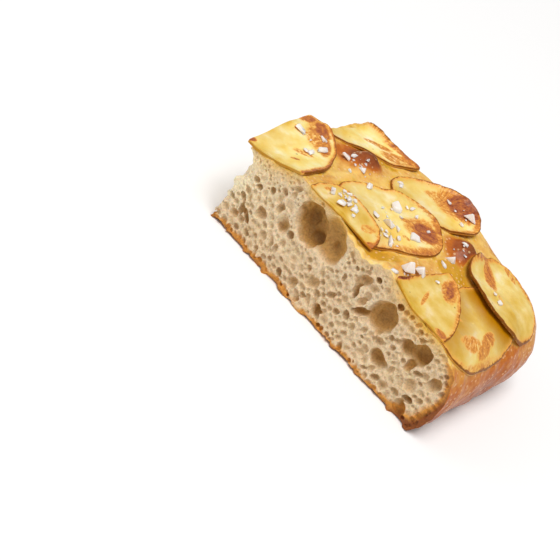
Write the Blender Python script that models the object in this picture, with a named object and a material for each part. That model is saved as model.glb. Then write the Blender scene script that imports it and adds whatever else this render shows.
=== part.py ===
"""Potato focaccia: the corner piece of a tray loaf, topped with baked potato slices.

The front (low Y) and left (low X) sides are knife cuts through the open crumb. The right and the
back are baked crust that meet in one rounded corner. Sizes here are in millimetres, measured from
the front left bottom corner of the cut, and each mesh is made in metres about the object's origin.
"""

import math

import bmesh
import bpy
import numpy as np

MM = 0.001

# Driving dimensions of the bread
LENGTH = 137.0
DEPTH = 100.0
CORNER_RADIUS = 28.0
WAIST_HEIGHT = 20.0
BASE_INSET = 5.5
SHOULDER_RIGHT = 20.0
SHOULDER_BACK = 16.0
LEFT_BULGE = 4.5
ORIGIN_X = 64.3
ORIGIN_Y = 50.0
GRID_STEP = 5.4
SIDE_LEVELS = 6

# Height of the top along the front cut, and along the back, as (distance from the left, height)
FRONT_TOP = ((0, 41), (11, 43.2), (23.5, 48), (38, 48), (46.5, 48.8), (57.5, 45.2), (66, 42),
             (73, 43.4), (81, 47.2), (88, 46.2), (100, 43), (118, 42), (LENGTH, 41))
BACK_TOP = ((0, 45.5), (35, 46.5), (65, 47.5), (90, 45), (115, 42), (LENGTH, 40))
FRONT_TO_BACK = 35.0

# Domes in the top crust: x, y, radius and height
DOMES = ((26, 51, 8.5, 4.0), (85, 63, 8.0, 3.5), (66, 81, 13.0, 2.5))

# Bubbles cut open by the front face: x, z, half width, half height, depth and tilt in degrees
FRONT_BUBBLES = (
    (41.3, 34.7, 10.4, 8.0, 9.0, 118),
    (53.3, 37.0, 10.0, 7.6, 7.5, 118),
    (19.5, 20.4, 3.9, 3.2, 3.2, 111),
    (31.0, 24.2, 4.3, 3.4, 3.6, 114),
    (50.5, 8.1, 3.5, 2.8, 3.0, -119),
    (58.0, 15.5, 3.8, 3.0, 3.2, -119),
    (76.4, 34.9, 4.9, 2.7, 3.4, -131),
    (92.1, 29.4, 8.0, 6.8, 6.0, -106),
    (101.9, 13.6, 4.8, 4.1, 3.6, 0),
    (113.4, 29.1, 7.1, 5.3, 5.4, -121),
    (127.9, 24.7, 4.2, 3.0, 3.2, -120),
)
# Bubbles cut open by the left face: y, z, half width, half height, depth and tilt in degrees
LEFT_BUBBLES = (
    (24.0, 27.0, 6.4, 4.8, 5.0, 60),
    (47.0, 15.0, 4.4, 3.6, 3.6, 20),
    (66.0, 29.0, 7.2, 5.2, 5.4, 110),
)

# A bubble larger than this gets finer facets
FINE_BUBBLE = 6.0

# Potato slices
SLICE_THICKNESS = 2.0
CONTACT_GAP = 0.4
SPOKES = 38
RINGS = 5
FRONT_CUT = (0.0, 0.0, 0.0, 1.0)
LEFT_CUT_A = (-5.0, 0.0, 1.0, 0.08)
LEFT_CUT_B = (0.5, 50.0, 1.0, -0.14)
MIDDLE_SLICE_CUT = (60.0, 4.6, -0.36, 0.93)
RIGHT_SLICE_CUT = (86.5, 1.0, 0.99, -0.145)

# The grid of heights that the slices are laid on, one after the other
CELL = 1.0
MARGIN = 12.0
DRAPE_REACH = 2
DRAPE_PASSES = 8


class Slice:
    """One potato slice: an oval cut by knife lines, laid on what is under it, with a curled rim."""

    def __init__(self, name, centre, half_length, half_width, direction, egg=0.0, squareness=2.3,
                 cuts=(), curl=0.0, curl_towards=0.0, curl_spread=1.0, rim=0.4):
        self.name = name
        self.centre = centre
        self.half_length = half_length
        self.half_width = half_width
        self.direction = math.radians(direction)
        self.egg = egg
        self.squareness = squareness
        self.cuts = cuts
        self.curl = curl
        self.curl_towards = math.radians(curl_towards)
        self.curl_spread = curl_spread
        self.rim = rim

    def oval_radius(self, angle):
        """Distance from the centre to the uncut outline, for angles in the piece's own frame."""
        turned = angle - self.direction
        along = np.abs(np.cos(turned) / self.half_length) ** self.squareness
        across = np.abs(np.sin(turned) / self.half_width) ** self.squareness
        return (along + across) ** (-1.0 / self.squareness) * (1.0 + self.egg * np.cos(turned))

    def reach(self, angle):
        """Distance from the centre to the outline once the knife has cut it."""
        radius = self.oval_radius(angle)
        for x, y, normal_x, normal_y in self.cuts:
            depth = (self.centre[0] - x) * normal_x + (self.centre[1] - y) * normal_y
            towards = -(np.cos(angle) * normal_x + np.sin(angle) * normal_y)
            limit = np.where(towards > 1e-6, depth / np.maximum(towards, 1e-6), 1e9)
            radius = np.minimum(radius, limit)
        return radius

    def lift(self, x, y):
        """How far the curled rim stands above the way the slice lies, at any points."""
        dx = x - self.centre[0]
        dy = y - self.centre[1]
        angle = np.arctan2(dy, dx)
        share = np.clip(np.hypot(dx, dy) / self.oval_radius(angle), 0.0, 1.0)
        side = np.maximum(0.0, np.cos((angle - self.curl_towards) / self.curl_spread)
                          * (np.abs(wrapped(angle - self.curl_towards)) < math.pi / 2 * self.curl_spread))
        return self.curl * side * share ** 4 + self.rim * share ** 6


SLICES = (
    Slice("potato_slice_edge_right", (117, 30), 31.0, 17.5, 90, cuts=(FRONT_CUT,), rim=0.5),
    Slice("potato_slice_back", (60, 68.5), 24.0, 15.2, 33, egg=-0.04, squareness=2.2, rim=0.3),
    Slice("potato_slice_middle", (58.5, 33), 28, 21.5, 53, egg=-0.04, rim=0.3),
    Slice("potato_slice_front_middle", (49.8, 3), 18.8, 16.3, 0, squareness=3.2,
          cuts=(FRONT_CUT, MIDDLE_SLICE_CUT), rim=0.3),
    Slice("potato_slice_left", (13, 70.5), 31.5, 12.8, 40, egg=-0.05, cuts=(LEFT_CUT_B,),
          curl=4.0, curl_towards=110, rim=0.3),
    Slice("potato_slice_front_left", (4, 15), 34.6, 22.3, 115, squareness=2.9, cuts=(FRONT_CUT, LEFT_CUT_A),
          curl=0.6, curl_towards=-10, rim=0.4),
    Slice("potato_slice_front_right", (97.5, 7.5), 32.4, 20.5, 111, squareness=2.2,
          cuts=(FRONT_CUT, RIGHT_SLICE_CUT), curl=1.5, curl_towards=150, rim=0.3),
    Slice("potato_slice_edge_back", (111, 65), 22.0, 19.8, -15, squareness=2.4,
          curl=3.5, curl_towards=-120, rim=0.3),
)


def wrapped(angle):
    """The same angle between minus and plus half a turn."""
    return np.arctan2(np.sin(angle), np.cos(angle))


def smooth(share):
    """A step from 0 to 1 that starts and ends level."""
    share = np.clip(share, 0.0, 1.0)
    return share * share * (3.0 - 2.0 * share)


def through(knots, x):
    """A smooth curve through the knots, read at x."""
    places = np.array([knot[0] for knot in knots], float)
    heights = np.array([knot[1] for knot in knots], float)
    slopes = np.gradient(heights, places)
    left = np.clip(np.searchsorted(places, x) - 1, 0, len(places) - 2)
    width = places[left + 1] - places[left]
    t = np.clip((x - places[left]) / width, 0.0, 1.0)
    from_left = (2 * t**3 - 3 * t**2 + 1) * heights[left] + (t**3 - 2 * t**2 + t) * width * slopes[left]
    from_right = (3 * t**2 - 2 * t**3) * heights[left + 1] + (t**3 - t**2) * width * slopes[left + 1]
    return from_left + from_right


def inward(x, y):
    """Distance in from the baked right and back sides, at their widest."""
    from_right = LENGTH - x
    from_back = DEPTH - y
    in_corner = (from_right < CORNER_RADIUS) & (from_back < CORNER_RADIUS)
    round_the_corner = CORNER_RADIUS - np.hypot(CORNER_RADIUS - from_right, CORNER_RADIUS - from_back)
    return np.where(in_corner, round_the_corner, np.minimum(from_right, from_back))


def top_height(x, y):
    """Height of the top crust: its waves, its domes, and the shoulder that rounds down to the sides."""
    front = through(FRONT_TOP, x)
    back = through(BACK_TOP, x)
    height = front + (back - front) * smooth(y / FRONT_TO_BACK)
    for dome_x, dome_y, radius, rise in DOMES:
        height = height + rise * np.exp(-((x - dome_x) ** 2 + (y - dome_y) ** 2) / radius**2)
    width = SHOULDER_RIGHT + (SHOULDER_BACK - SHOULDER_RIGHT) * smooth((LENGTH - x) / (LENGTH / 2))
    share = np.clip(inward(x, y) / width, 0.0, 1.0)
    return WAIST_HEIGHT + (height - WAIST_HEIGHT) * np.sqrt(1.0 - (1.0 - share) ** 2)


def left_shift(y, z):
    """How far the left cut stands out beyond a plumb line, near the front at the top."""
    return -LEFT_BULGE * smooth((62.0 - y) / 24.0) * smooth((z - 33.0) / 9.0)


class Terrain:
    """Heights on a fine grid of what lies below the next slice."""

    def __init__(self):
        self.xs = np.arange(-MARGIN, LENGTH + MARGIN, CELL)
        self.ys = np.arange(-MARGIN, DEPTH + MARGIN, CELL)
        self.grid_x, self.grid_y = np.meshgrid(self.xs, self.ys, indexing="ij")
        self.height = top_height(self.grid_x, np.maximum(self.grid_y, 0.0))

    def draped(self):
        """The underside of a slice laid here: it bridges dips and clears every bump."""
        sheet = self.height
        for _ in range(DRAPE_REACH):
            sheet = neighbours(sheet).max(axis=0)
        for _ in range(DRAPE_PASSES):
            sheet = neighbours(sheet).mean(axis=0)
        return np.maximum(sheet, self.height) + CONTACT_GAP

    def read(self, sheet, x, y):
        """Heights of a sheet of this grid at any points, by straight lines between its cells."""
        column = np.clip((x - self.xs[0]) / CELL, 0, len(self.xs) - 1.001)
        row = np.clip((y - self.ys[0]) / CELL, 0, len(self.ys) - 1.001)
        i = column.astype(int)
        j = row.astype(int)
        s = column - i
        t = row - j
        near = sheet[i, j] * (1 - s) + sheet[i + 1, j] * s
        far = sheet[i, j + 1] * (1 - s) + sheet[i + 1, j + 1] * s
        return near * (1 - t) + far * t

    def cover(self, piece, sheet):
        """Raise the ground to the top of a slice that now lies on it."""
        dx = self.grid_x - piece.centre[0]
        dy = self.grid_y - piece.centre[1]
        inside = np.hypot(dx, dy) <= piece.reach(np.arctan2(dy, dx)) + 2 * CELL
        top = sheet + piece.lift(self.grid_x, self.grid_y) + SLICE_THICKNESS
        self.height = np.where(inside, np.maximum(self.height, top), self.height)


def neighbours(sheet):
    """The sheet and its eight shifted copies, as one stack."""
    padded = np.pad(sheet, 1, mode="edge")
    rows, columns = sheet.shape
    return np.stack([padded[i:i + rows, j:j + columns] for i in range(3) for j in range(3)])


def material(name, colour, roughness):
    """A plain Principled material for one kind of surface."""
    made = bpy.data.materials.new(name)
    made.use_nodes = True
    shader = made.node_tree.nodes["Principled BSDF"]
    shader.inputs["Base Color"].default_value = (*colour, 1.0)
    shader.inputs["Roughness"].default_value = roughness
    shader.inputs["Metallic"].default_value = 0.0
    return made


def new_object(name, form, surface):
    """Turn a bmesh in millimetres of the cut into a named object in metres about its origin."""
    mesh = bpy.data.meshes.new(name)
    bmesh.ops.recalc_face_normals(form, faces=form.faces)
    form.to_mesh(mesh)
    form.free()
    mesh.materials.append(surface)
    made = bpy.data.objects.new(name, mesh)
    bpy.context.scene.collection.objects.link(made)
    return made


def placed(x, y, z):
    """A point of the cut, in metres in the object's frame."""
    return ((x - ORIGIN_X) * MM, (y - ORIGIN_Y) * MM, z * MM)


def stations(length, shoulder):
    """Distances along one side of the bread, closer together where the shoulder rounds over."""
    flat = length - shoulder
    count = round(flat / GRID_STEP)
    spread = [flat * i / count for i in range(count + 1)]
    turns = 5
    return spread + [length - shoulder * (1.0 - math.sin(math.pi / 2 * k / turns))
                     for k in range(1, turns + 1)]


def plan_point(along, across):
    """A point of a square grid, moved so that the grid's far corner is round."""
    p = (along - (LENGTH - CORNER_RADIUS)) / CORNER_RADIUS
    q = (across - (DEPTH - CORNER_RADIUS)) / CORNER_RADIUS
    if p <= 0.0 or q <= 0.0:
        return along, across
    return (LENGTH - CORNER_RADIUS + CORNER_RADIUS * p * math.sqrt(1.0 - q * q / 2.0),
            DEPTH - CORNER_RADIUS + CORNER_RADIUS * q * math.sqrt(1.0 - p * p / 2.0))


def bread_form():
    """The closed body of the bread: the top as a grid, strips down its four sides, a flat base."""
    form = bmesh.new()
    along = stations(LENGTH, SHOULDER_RIGHT)
    across = stations(DEPTH, SHOULDER_BACK)
    top = {}
    for i, a in enumerate(along):
        for j, b in enumerate(across):
            x, y = plan_point(a, b)
            z = float(top_height(np.array(x), np.array(y)))
            x += float(left_shift(y, z)) * max(0.0, 1.0 - x / (LENGTH / 4))
            top[i, j] = form.verts.new(placed(x, y, z))
    last_i = len(along) - 1
    last_j = len(across) - 1
    for i in range(last_i):
        for j in range(last_j):
            form.faces.new((top[i, j], top[i + 1, j], top[i + 1, j + 1], top[i, j + 1]))
    rim = ([(i, 0) for i in range(last_i)] + [(last_i, j) for j in range(last_j)]
           + [(i, last_j) for i in range(last_i, 0, -1)] + [(0, j) for j in range(last_j, 0, -1)])
    above = [top[corner] for corner in rim]
    for level in range(SIDE_LEVELS - 1, -1, -1):
        share = level / SIDE_LEVELS
        inset = BASE_INSET * (1.0 - share) ** 2.5
        below = []
        for i, j in rim:
            x, y = plan_point(along[i], across[j])
            z = share * float(top_height(np.array(x), np.array(y)))
            if i == 0:
                x += float(left_shift(y, z))
            below.append(form.verts.new(placed(x * (1.0 - inset / LENGTH), y * (1.0 - inset / DEPTH), z)))
        for k in range(len(rim)):
            following = (k + 1) % len(rim)
            form.faces.new((below[k], below[following], above[following], above[k]))
        above = below
    form.faces.new(list(reversed(above)))
    return form


def add_bubble(bread, name, centre, half_sizes, tilt, turn_axis):
    """Cut one bubble of the crumb open with an ellipsoid that reaches in from a cut face."""
    form = bmesh.new()
    fineness = 3 if max(half_sizes) > FINE_BUBBLE else 2
    bmesh.ops.create_icosphere(form, subdivisions=fineness, radius=1.0)
    cutter = new_object(name, form, bread.data.materials[0])
    cutter.location = centre
    cutter.scale = [size * MM for size in half_sizes]
    cutter.rotation_mode = "AXIS_ANGLE"
    cutter.rotation_axis_angle = (math.radians(tilt), *turn_axis)
    cutter.display_type = "WIRE"
    cutter.hide_render = True
    cut = bread.modifiers.new(name, "BOOLEAN")
    cut.operation = "DIFFERENCE"
    cut.solver = "EXACT"
    cut.object = cutter


def build_bread(crumb):
    """The bread with its larger bubbles cut open on both knife faces."""
    bread = new_object("bread", bread_form(), crumb)
    for number, (x, z, wide, high, deep, tilt) in enumerate(FRONT_BUBBLES, 1):
        add_bubble(bread, f"front_bubble_{number}", placed(x, 0.0, z), (wide, deep, high), -tilt, (0, 1, 0))
    for number, (y, z, wide, high, deep, tilt) in enumerate(LEFT_BUBBLES, 1):
        centre = placed(float(left_shift(y, z)), y, z)
        add_bubble(bread, f"left_bubble_{number}", centre, (deep, wide, high), tilt, (1, 0, 0))
    bread.data.shade_smooth()
    bread.data.set_sharp_from_angle(angle=math.radians(35))
    return bread


def build_slice(piece, terrain, potato):
    """One slice: two sheets of rings and spokes, joined round the rim, draped on the ground below."""
    sheet = terrain.draped()
    angles = np.linspace(0.0, 2.0 * math.pi, SPOKES, endpoint=False)
    edge = piece.reach(angles)
    form = bmesh.new()
    layers = []
    for thickness in (0.0, SLICE_THICKNESS):
        rings = []
        for ring in range(RINGS + 1):
            share = ring / RINGS
            count = SPOKES if ring else 1
            x = piece.centre[0] + edge[:count] * share * np.cos(angles[:count])
            y = piece.centre[1] + edge[:count] * share * np.sin(angles[:count])
            z = terrain.read(sheet, x, y) + piece.lift(x, y) + thickness
            rings.append([form.verts.new(placed(*point)) for point in zip(x, y, z)])
        layers.append(rings)
    for rings in layers:
        for inner, outer in zip(rings, rings[1:]):
            for k in range(SPOKES):
                following = (k + 1) % SPOKES
                if len(inner) == 1:
                    form.faces.new((inner[0], outer[k], outer[following]))
                else:
                    form.faces.new((inner[k], outer[k], outer[following], inner[following]))
    low, high = layers[0][-1], layers[1][-1]
    for k in range(SPOKES):
        following = (k + 1) % SPOKES
        form.faces.new((low[k], low[following], high[following], high[k]))
    made = new_object(piece.name, form, potato)
    made.data.shade_smooth()
    made.data.set_sharp_from_angle(angle=math.radians(40))
    terrain.cover(piece, sheet)
    return made


def main():
    """Clear the scene and build the bread and its eight slices."""
    for old in list(bpy.data.objects):
        bpy.data.objects.remove(old)
    crumb = material("open crumb", (0.62, 0.45, 0.27), 0.85)
    potato = material("roast potato", (0.80, 0.55, 0.16), 0.45)
    build_bread(crumb)
    terrain = Terrain()
    for piece in SLICES:
        build_slice(piece, terrain, potato)


main()
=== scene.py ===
"""Potato focaccia: the looks of a corner piece of tray-baked bread with roast potato slices on top.

The bread is grown as a field of distances on a fine grid, so that its bubbles, walls and crust are
real surfaces. The potato slices are thin curled discs laid on it one after the other, and the salt
is one mesh of flakes. Sizes are in millimetres, measured from the front left bottom corner of the
cut, and each mesh is made in metres in the frame's own axes.
"""

from __future__ import annotations

import logging
import math
from dataclasses import dataclass, field
from enum import Enum

import bmesh
import bpy
import numpy as np
import openvdb
from mathutils import Matrix, Vector

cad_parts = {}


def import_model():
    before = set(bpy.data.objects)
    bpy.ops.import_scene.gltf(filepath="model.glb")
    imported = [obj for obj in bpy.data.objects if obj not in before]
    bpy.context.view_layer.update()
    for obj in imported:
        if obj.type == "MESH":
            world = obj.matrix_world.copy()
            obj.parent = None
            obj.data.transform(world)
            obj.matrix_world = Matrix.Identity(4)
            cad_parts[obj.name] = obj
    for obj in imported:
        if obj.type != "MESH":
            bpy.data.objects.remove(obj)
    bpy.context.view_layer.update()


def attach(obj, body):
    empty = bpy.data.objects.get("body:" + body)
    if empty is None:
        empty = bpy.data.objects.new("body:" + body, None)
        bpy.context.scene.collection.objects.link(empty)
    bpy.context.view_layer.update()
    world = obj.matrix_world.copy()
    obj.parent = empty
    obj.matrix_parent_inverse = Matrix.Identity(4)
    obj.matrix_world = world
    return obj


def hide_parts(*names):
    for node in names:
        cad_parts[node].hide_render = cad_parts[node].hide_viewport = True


log = logging.getLogger("focaccia")

MM = 0.001
BODY = "root"
# The frame's origin, in millimetres from the front left bottom corner of the cut
ORIGIN = (64.3, 50.0, 0.0)

Array = np.ndarray
Knots = tuple[tuple[float, float], ...]
Rows = tuple[tuple[float, ...], ...]
Triple = tuple[float, float, float]


def smooth(share: Array) -> Array:
    """A step from 0 to 1 that starts and ends level."""
    share = np.clip(share, 0.0, 1.0)
    return share * share * (3.0 - 2.0 * share)


def through(knots: Knots, x: Array) -> Array:
    """Read a smooth curve through some knots.

    Args:
        knots: Pairs of place and height, in order.
        x: Where to read the curve.

    Returns:
        The curve's heights at x.
    """
    places = np.array([knot[0] for knot in knots], float)
    heights = np.array([knot[1] for knot in knots], float)
    slopes = np.gradient(heights, places)
    left = np.clip(np.searchsorted(places, x) - 1, 0, len(places) - 2)
    width = places[left + 1] - places[left]
    t = np.clip((x - places[left]) / width, 0.0, 1.0)
    from_left = (2 * t**3 - 3 * t**2 + 1) * heights[left] + (t**3 - 2 * t**2 + t) * width * slopes[left]
    from_right = (3 * t**2 - 2 * t**3) * heights[left + 1] + (t**3 - t**2) * width * slopes[left + 1]
    return from_left + from_right


def wrapped(angle: Array) -> Array:
    """The same angle between minus and plus half a turn."""
    return np.arctan2(np.sin(angle), np.cos(angle))


def smooth_max(a: Array, b: Array, blend: float) -> Array:
    """The larger of two distances, with the edge between them rounded over some millimetres."""
    near = np.maximum(blend - np.abs(a - b), 0.0) / blend
    return np.maximum(a, b) + near * near * blend * 0.25


class Noise:
    """Smooth random waves on a seeded lattice."""

    CELLS = 32

    def __init__(self, seed: int, size: float) -> None:
        """Make the lattice.

        Args:
            seed: Seed of the lattice's values.
            size: Width of one cell in millimetres.
        """
        self.values = np.random.default_rng(seed).uniform(-1.0, 1.0, (self.CELLS,) * 3).astype(np.float32)
        self.size = size

    def at(self, x: Array, y: Array, z: Array | float = 0.0) -> Array:
        """Read the waves at points given in millimetres.

        Args:
            x: First coordinate.
            y: Second coordinate.
            z: Third coordinate, or one height for all.

        Returns:
            Values between -1 and 1.
        """
        corners = []
        shares = []
        for axis in (x, y, z):
            place = np.asarray(axis, np.float32) / self.size
            low = np.floor(place)
            share = place - low
            shares.append(share * share * (3.0 - 2.0 * share))
            corners.append((low.astype(np.int64) % self.CELLS, (low.astype(np.int64) + 1) % self.CELLS))
        total = 0.0
        for i in (0, 1):
            for j in (0, 1):
                for k in (0, 1):
                    weight = ((shares[0] if i else 1.0 - shares[0]) * (shares[1] if j else 1.0 - shares[1])
                              * (shares[2] if k else 1.0 - shares[2]))
                    total = total + weight * self.values[corners[0][i], corners[1][j], corners[2][k]]
        return total


@dataclass(frozen=True)
class Loaf:
    """The outer form of the bread: the same sizes and formulas as the frame's bread node."""

    length: float = 137.0
    depth: float = 100.0
    corner_radius: float = 28.0
    waist_height: float = 20.0
    base_inset: float = 5.5
    base_power: float = 2.5
    shoulder_right: float = 20.0
    shoulder_back: float = 16.0
    left_bulge: float = 4.5
    # Heights of the top crust over x, at the front cut and from this far behind it
    front_to_back: float = 35.0
    front_top: Knots = ((0, 41), (11, 43.2), (23.5, 48), (38, 48), (46.5, 48.8), (57.5, 45.2), (66, 42),
                        (73, 43.4), (81, 47.2), (88, 46.2), (100, 43), (118, 42), (137, 41))
    back_top: Knots = ((0, 45.5), (35, 46.5), (65, 47.5), (90, 45), (115, 42), (137, 40))
    # x, y, radius and rise of swellings of the top
    domes: Rows = ((26, 51, 8.5, 4.0), (85, 63, 8.0, 3.5), (66, 81, 13.0, 2.5))

    def inward(self, x: Array, y: Array) -> Array:
        """Measure the distance in from the baked right and back sides, at their widest.

        Args:
            x: Places along the front.
            y: Places towards the back.

        Returns:
            The distances, rounded off at the corner.
        """
        from_right = self.length - x
        from_back = self.depth - y
        radius = self.corner_radius
        in_corner = (from_right < radius) & (from_back < radius)
        round_the_corner = radius - np.hypot(radius - from_right, radius - from_back)
        return np.where(in_corner, round_the_corner, np.minimum(from_right, from_back))

    def crown(self, x: Array, y: Array) -> Array:
        """Find the height of the top crust before its shoulder rounds down to the sides.

        Args:
            x: Places along the front.
            y: Places towards the back.

        Returns:
            The heights.
        """
        front = through(self.front_top, x)
        height = front + (through(self.back_top, x) - front) * smooth(y / self.front_to_back)
        for dome_x, dome_y, radius, rise in self.domes:
            height = height + rise * np.exp(-((x - dome_x) ** 2 + (y - dome_y) ** 2) / radius**2)
        return height

    def shoulder(self, x: Array) -> Array:
        """Width of the rounded shoulder."""
        wider = self.shoulder_back - self.shoulder_right
        return self.shoulder_right + wider * smooth((self.length - x) / (self.length / 2))

    def top_height(self, x: Array, y: Array) -> Array:
        """Find the height of the top crust with its shoulder.

        Args:
            x: Places along the front.
            y: Places towards the back.

        Returns:
            The heights.
        """
        share = np.clip(self.inward(x, y) / self.shoulder(x), 0.0, 1.0)
        rise = self.crown(x, y) - self.waist_height
        return self.waist_height + rise * np.sqrt(1.0 - (1.0 - share) ** 2)

    def left_shift(self, y: Array, z: Array) -> Array:
        """How far the left cut stands out beyond a plumb line, near the front at the top."""
        return -self.left_bulge * smooth((62.0 - y) / 24.0) * smooth((z - 33.0) / 9.0)

    def crust_distance(self, x: Array, y: Array, z: Array) -> Array:
        """Distance to the baked skin, in millimetres and negative inside.

        Args:
            x: Distance from the left cut.
            y: Distance from the front cut.
            z: Height, which may be a further axis of a grid.

        Returns:
            The distances, as near as the skin's own slope gives them.
        """
        width = self.shoulder(x)
        out = np.maximum(0.0, 1.0 - self.inward(x, y) / width)
        rise = self.crown(x, y) - self.waist_height
        up = np.maximum(0.0, (z - self.waist_height) / rise)
        length = np.maximum(np.hypot(out, up), 1e-4)
        slope = np.hypot(out / width, up / rise) / length
        above = (length - 1.0) / np.maximum(slope, 1e-4)
        tuck = self.base_inset * np.clip(1.0 - z / self.waist_height, 0.0, 1.0) ** self.base_power
        below = tuck - self.inward(x, y)
        return np.maximum(np.where(z > self.waist_height, above, below), -z)


LOAF = Loaf()


@dataclass(frozen=True)
class Bubble:
    """One bubble of the crumb: an ellipsoid in millimetres, with its axes as rows."""

    centre: Triple
    radii: Triple
    axes: tuple[Triple, ...] = ((1, 0, 0), (0, 1, 0), (0, 0, 1))
    blend: float = 0.3

    def distance(self, x: Array, y: Array, z: Array) -> Array:
        """Measure the distance to the bubble's wall.

        Args:
            x: Places along the front.
            y: Places towards the back.
            z: Heights.

        Returns:
            The distances, negative inside.
        """
        dx, dy, dz = x - self.centre[0], y - self.centre[1], z - self.centre[2]
        square = 0.0
        steep = 0.0
        for (a, b, c), radius in zip(self.axes, self.radii):
            share = (a * dx + b * dy + c * dz) / radius
            square = square + share * share
            steep = steep + (share / radius) ** 2
        length = np.sqrt(square)
        return length * (length - 1.0) / np.sqrt(np.maximum(steep, 1e-6))


class Face(Enum):
    """The two knife-cut faces."""

    FRONT = "front"
    LEFT = "left"

    def bubble(self, along: float, height: float, radii: Triple, tilt: float,
               sunk: float = 0.0) -> Bubble:
        """Place a bubble by where the face cuts it.

        Args:
            along: Distance along the face.
            height: Height above the base.
            radii: Half width, half height and half depth.
            tilt: Turn of the bubble's width in the face, in degrees.
            sunk: How far the centre lies behind the face.

        Returns:
            The bubble.
        """
        # Large bubbles have a softer edge
        blend = min(1.4, max(0.15, 0.14 * max(radii) - 0.1))
        c, s = math.cos(math.radians(tilt)), math.sin(math.radians(tilt))
        if self is Face.FRONT:
            return Bubble((along, sunk, height), radii, ((c, 0, s), (-s, 0, c), (0, 1, 0)), blend)
        inset = float(LOAF.left_shift(np.array(along), np.array(height))) + sunk
        return Bubble((inset, along, height), radii, ((0, c, s), (0, -s, c), (1, 0, 0)), blend)

    def extent(self) -> float:
        """Length of the face."""
        return LOAF.length if self is Face.FRONT else LOAF.depth

    def points(self, along: Array, height: Array) -> tuple[Array, Array, Array]:
        """Points of the face, as x, y and z."""
        zero = np.zeros_like(along)
        return (along, zero, height) if self is Face.FRONT else (zero, along, height)

    def solid_margin(self, along: Array, height: Array) -> Array:
        """How far a point of the face lies inside the baked skin."""
        return -LOAF.crust_distance(*self.points(along, height))

    def lean(self, along: float) -> float:
        """Which way the dough rose there, as the usual tilt of its bubbles in degrees."""
        return 115.0 - 55.0 * float(smooth(np.array((along - 50.0) / 30.0)))


# Bubbles of the front face as cut: x, z, half width, half height, half depth and tilt in degrees
FRONT_BUBBLES = (
    (41.3, 34.7, 10.4, 8.0, 9.0, 118),
    (53.3, 36.6, 10.8, 8.4, 7.0, 118),
    (19.5, 20.4, 3.9, 3.2, 3.2, 111),
    (31.0, 24.2, 4.3, 3.4, 3.6, 114),
    (26.3, 13.5, 2.4, 2.0, 2.2, 100),
    (28.4, 33.6, 3.1, 2.3, 2.4, 120),
    (27.8, 42.5, 3.0, 1.7, 2.0, 46),
    (45.1, 17.1, 2.1, 1.8, 2.0, 110),
    (50.5, 8.1, 3.5, 2.8, 3.0, 61),
    (58.0, 15.5, 3.8, 3.0, 3.2, 61),
    (76.4, 34.9, 4.9, 2.7, 3.4, 49),
    (67.2, 6.7, 3.6, 2.6, 5.5, 119),
    (86.9, 21.7, 2.2, 1.7, 2.2, 60),
    (92.1, 29.4, 8.2, 7.0, 7.0, 74),
    (101.9, 13.6, 5.0, 4.3, 4.8, 0),
    (115.6, 30.6, 6.6, 4.6, 7.4, 64),
    (110.6, 28.6, 3.6, 5.4, 6.0, 90),
    (120.8, 16.6, 3.5, 3.0, 2.8, 80),
    (127.9, 24.7, 4.2, 3.0, 3.2, 60),
    (122.3, 4.6, 4.1, 3.1, 4.8, 113),
    (110.9, 6.3, 3.1, 2.6, 2.6, 90),
)
# Bubbles of the left face as cut, in the same order with y in place of x
LEFT_BUBBLES = (
    (24.0, 27.0, 6.4, 4.8, 5.0, 60),
    (47.0, 15.0, 4.4, 3.6, 3.6, 20),
    (66.0, 29.0, 7.2, 5.2, 5.4, 110),
    (37.0, 36.0, 3.4, 2.6, 2.8, 80),
    (84.0, 17.0, 4.2, 3.3, 3.4, 50),
    (12.0, 12.0, 3.6, 3.0, 1.4, 120),
    (55.0, 38.0, 3.6, 2.4, 2.6, 30),
)
# Bubbles torn open along the upright edge where the two cuts meet: x, y, z and radius
EDGE_BUBBLES = ((-2.4, -0.6, 31.2, 6.0), (-1.5, -0.3, 19.0, 2.6), (-1.3, 0.2, 13.2, 2.4),
                (-4.4, 0.4, 39.8, 2.2), (-0.9, 0.3, 7.4, 1.8))
# Deeper holes that open behind the walls of the front's large bubbles: x, y, z and radius
DEEP_HOLES = ((46.0, 6.6, 29.5, 3.4), (38.0, 8.6, 36.0, 1.7), (55.5, 6.0, 33.5, 2.2),
              (92.5, 5.0, 28.6, 2.0), (117.0, 4.4, 29.0, 2.6), (103.0, 3.0, 14.6, 1.6))
# Ovals on the front where the crumb is drawn out smooth and holds only small pores: x, z, half
# width and half height
DENSE = ((10.0, 42.0, 15.0, 7.5), (1.0, 30.0, 7.0, 14.0), (47.0, 34.5, 20.5, 11.5),
         (92.0, 29.0, 9.6, 8.2), (92.0, 44.0, 14.0, 4.0))


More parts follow.
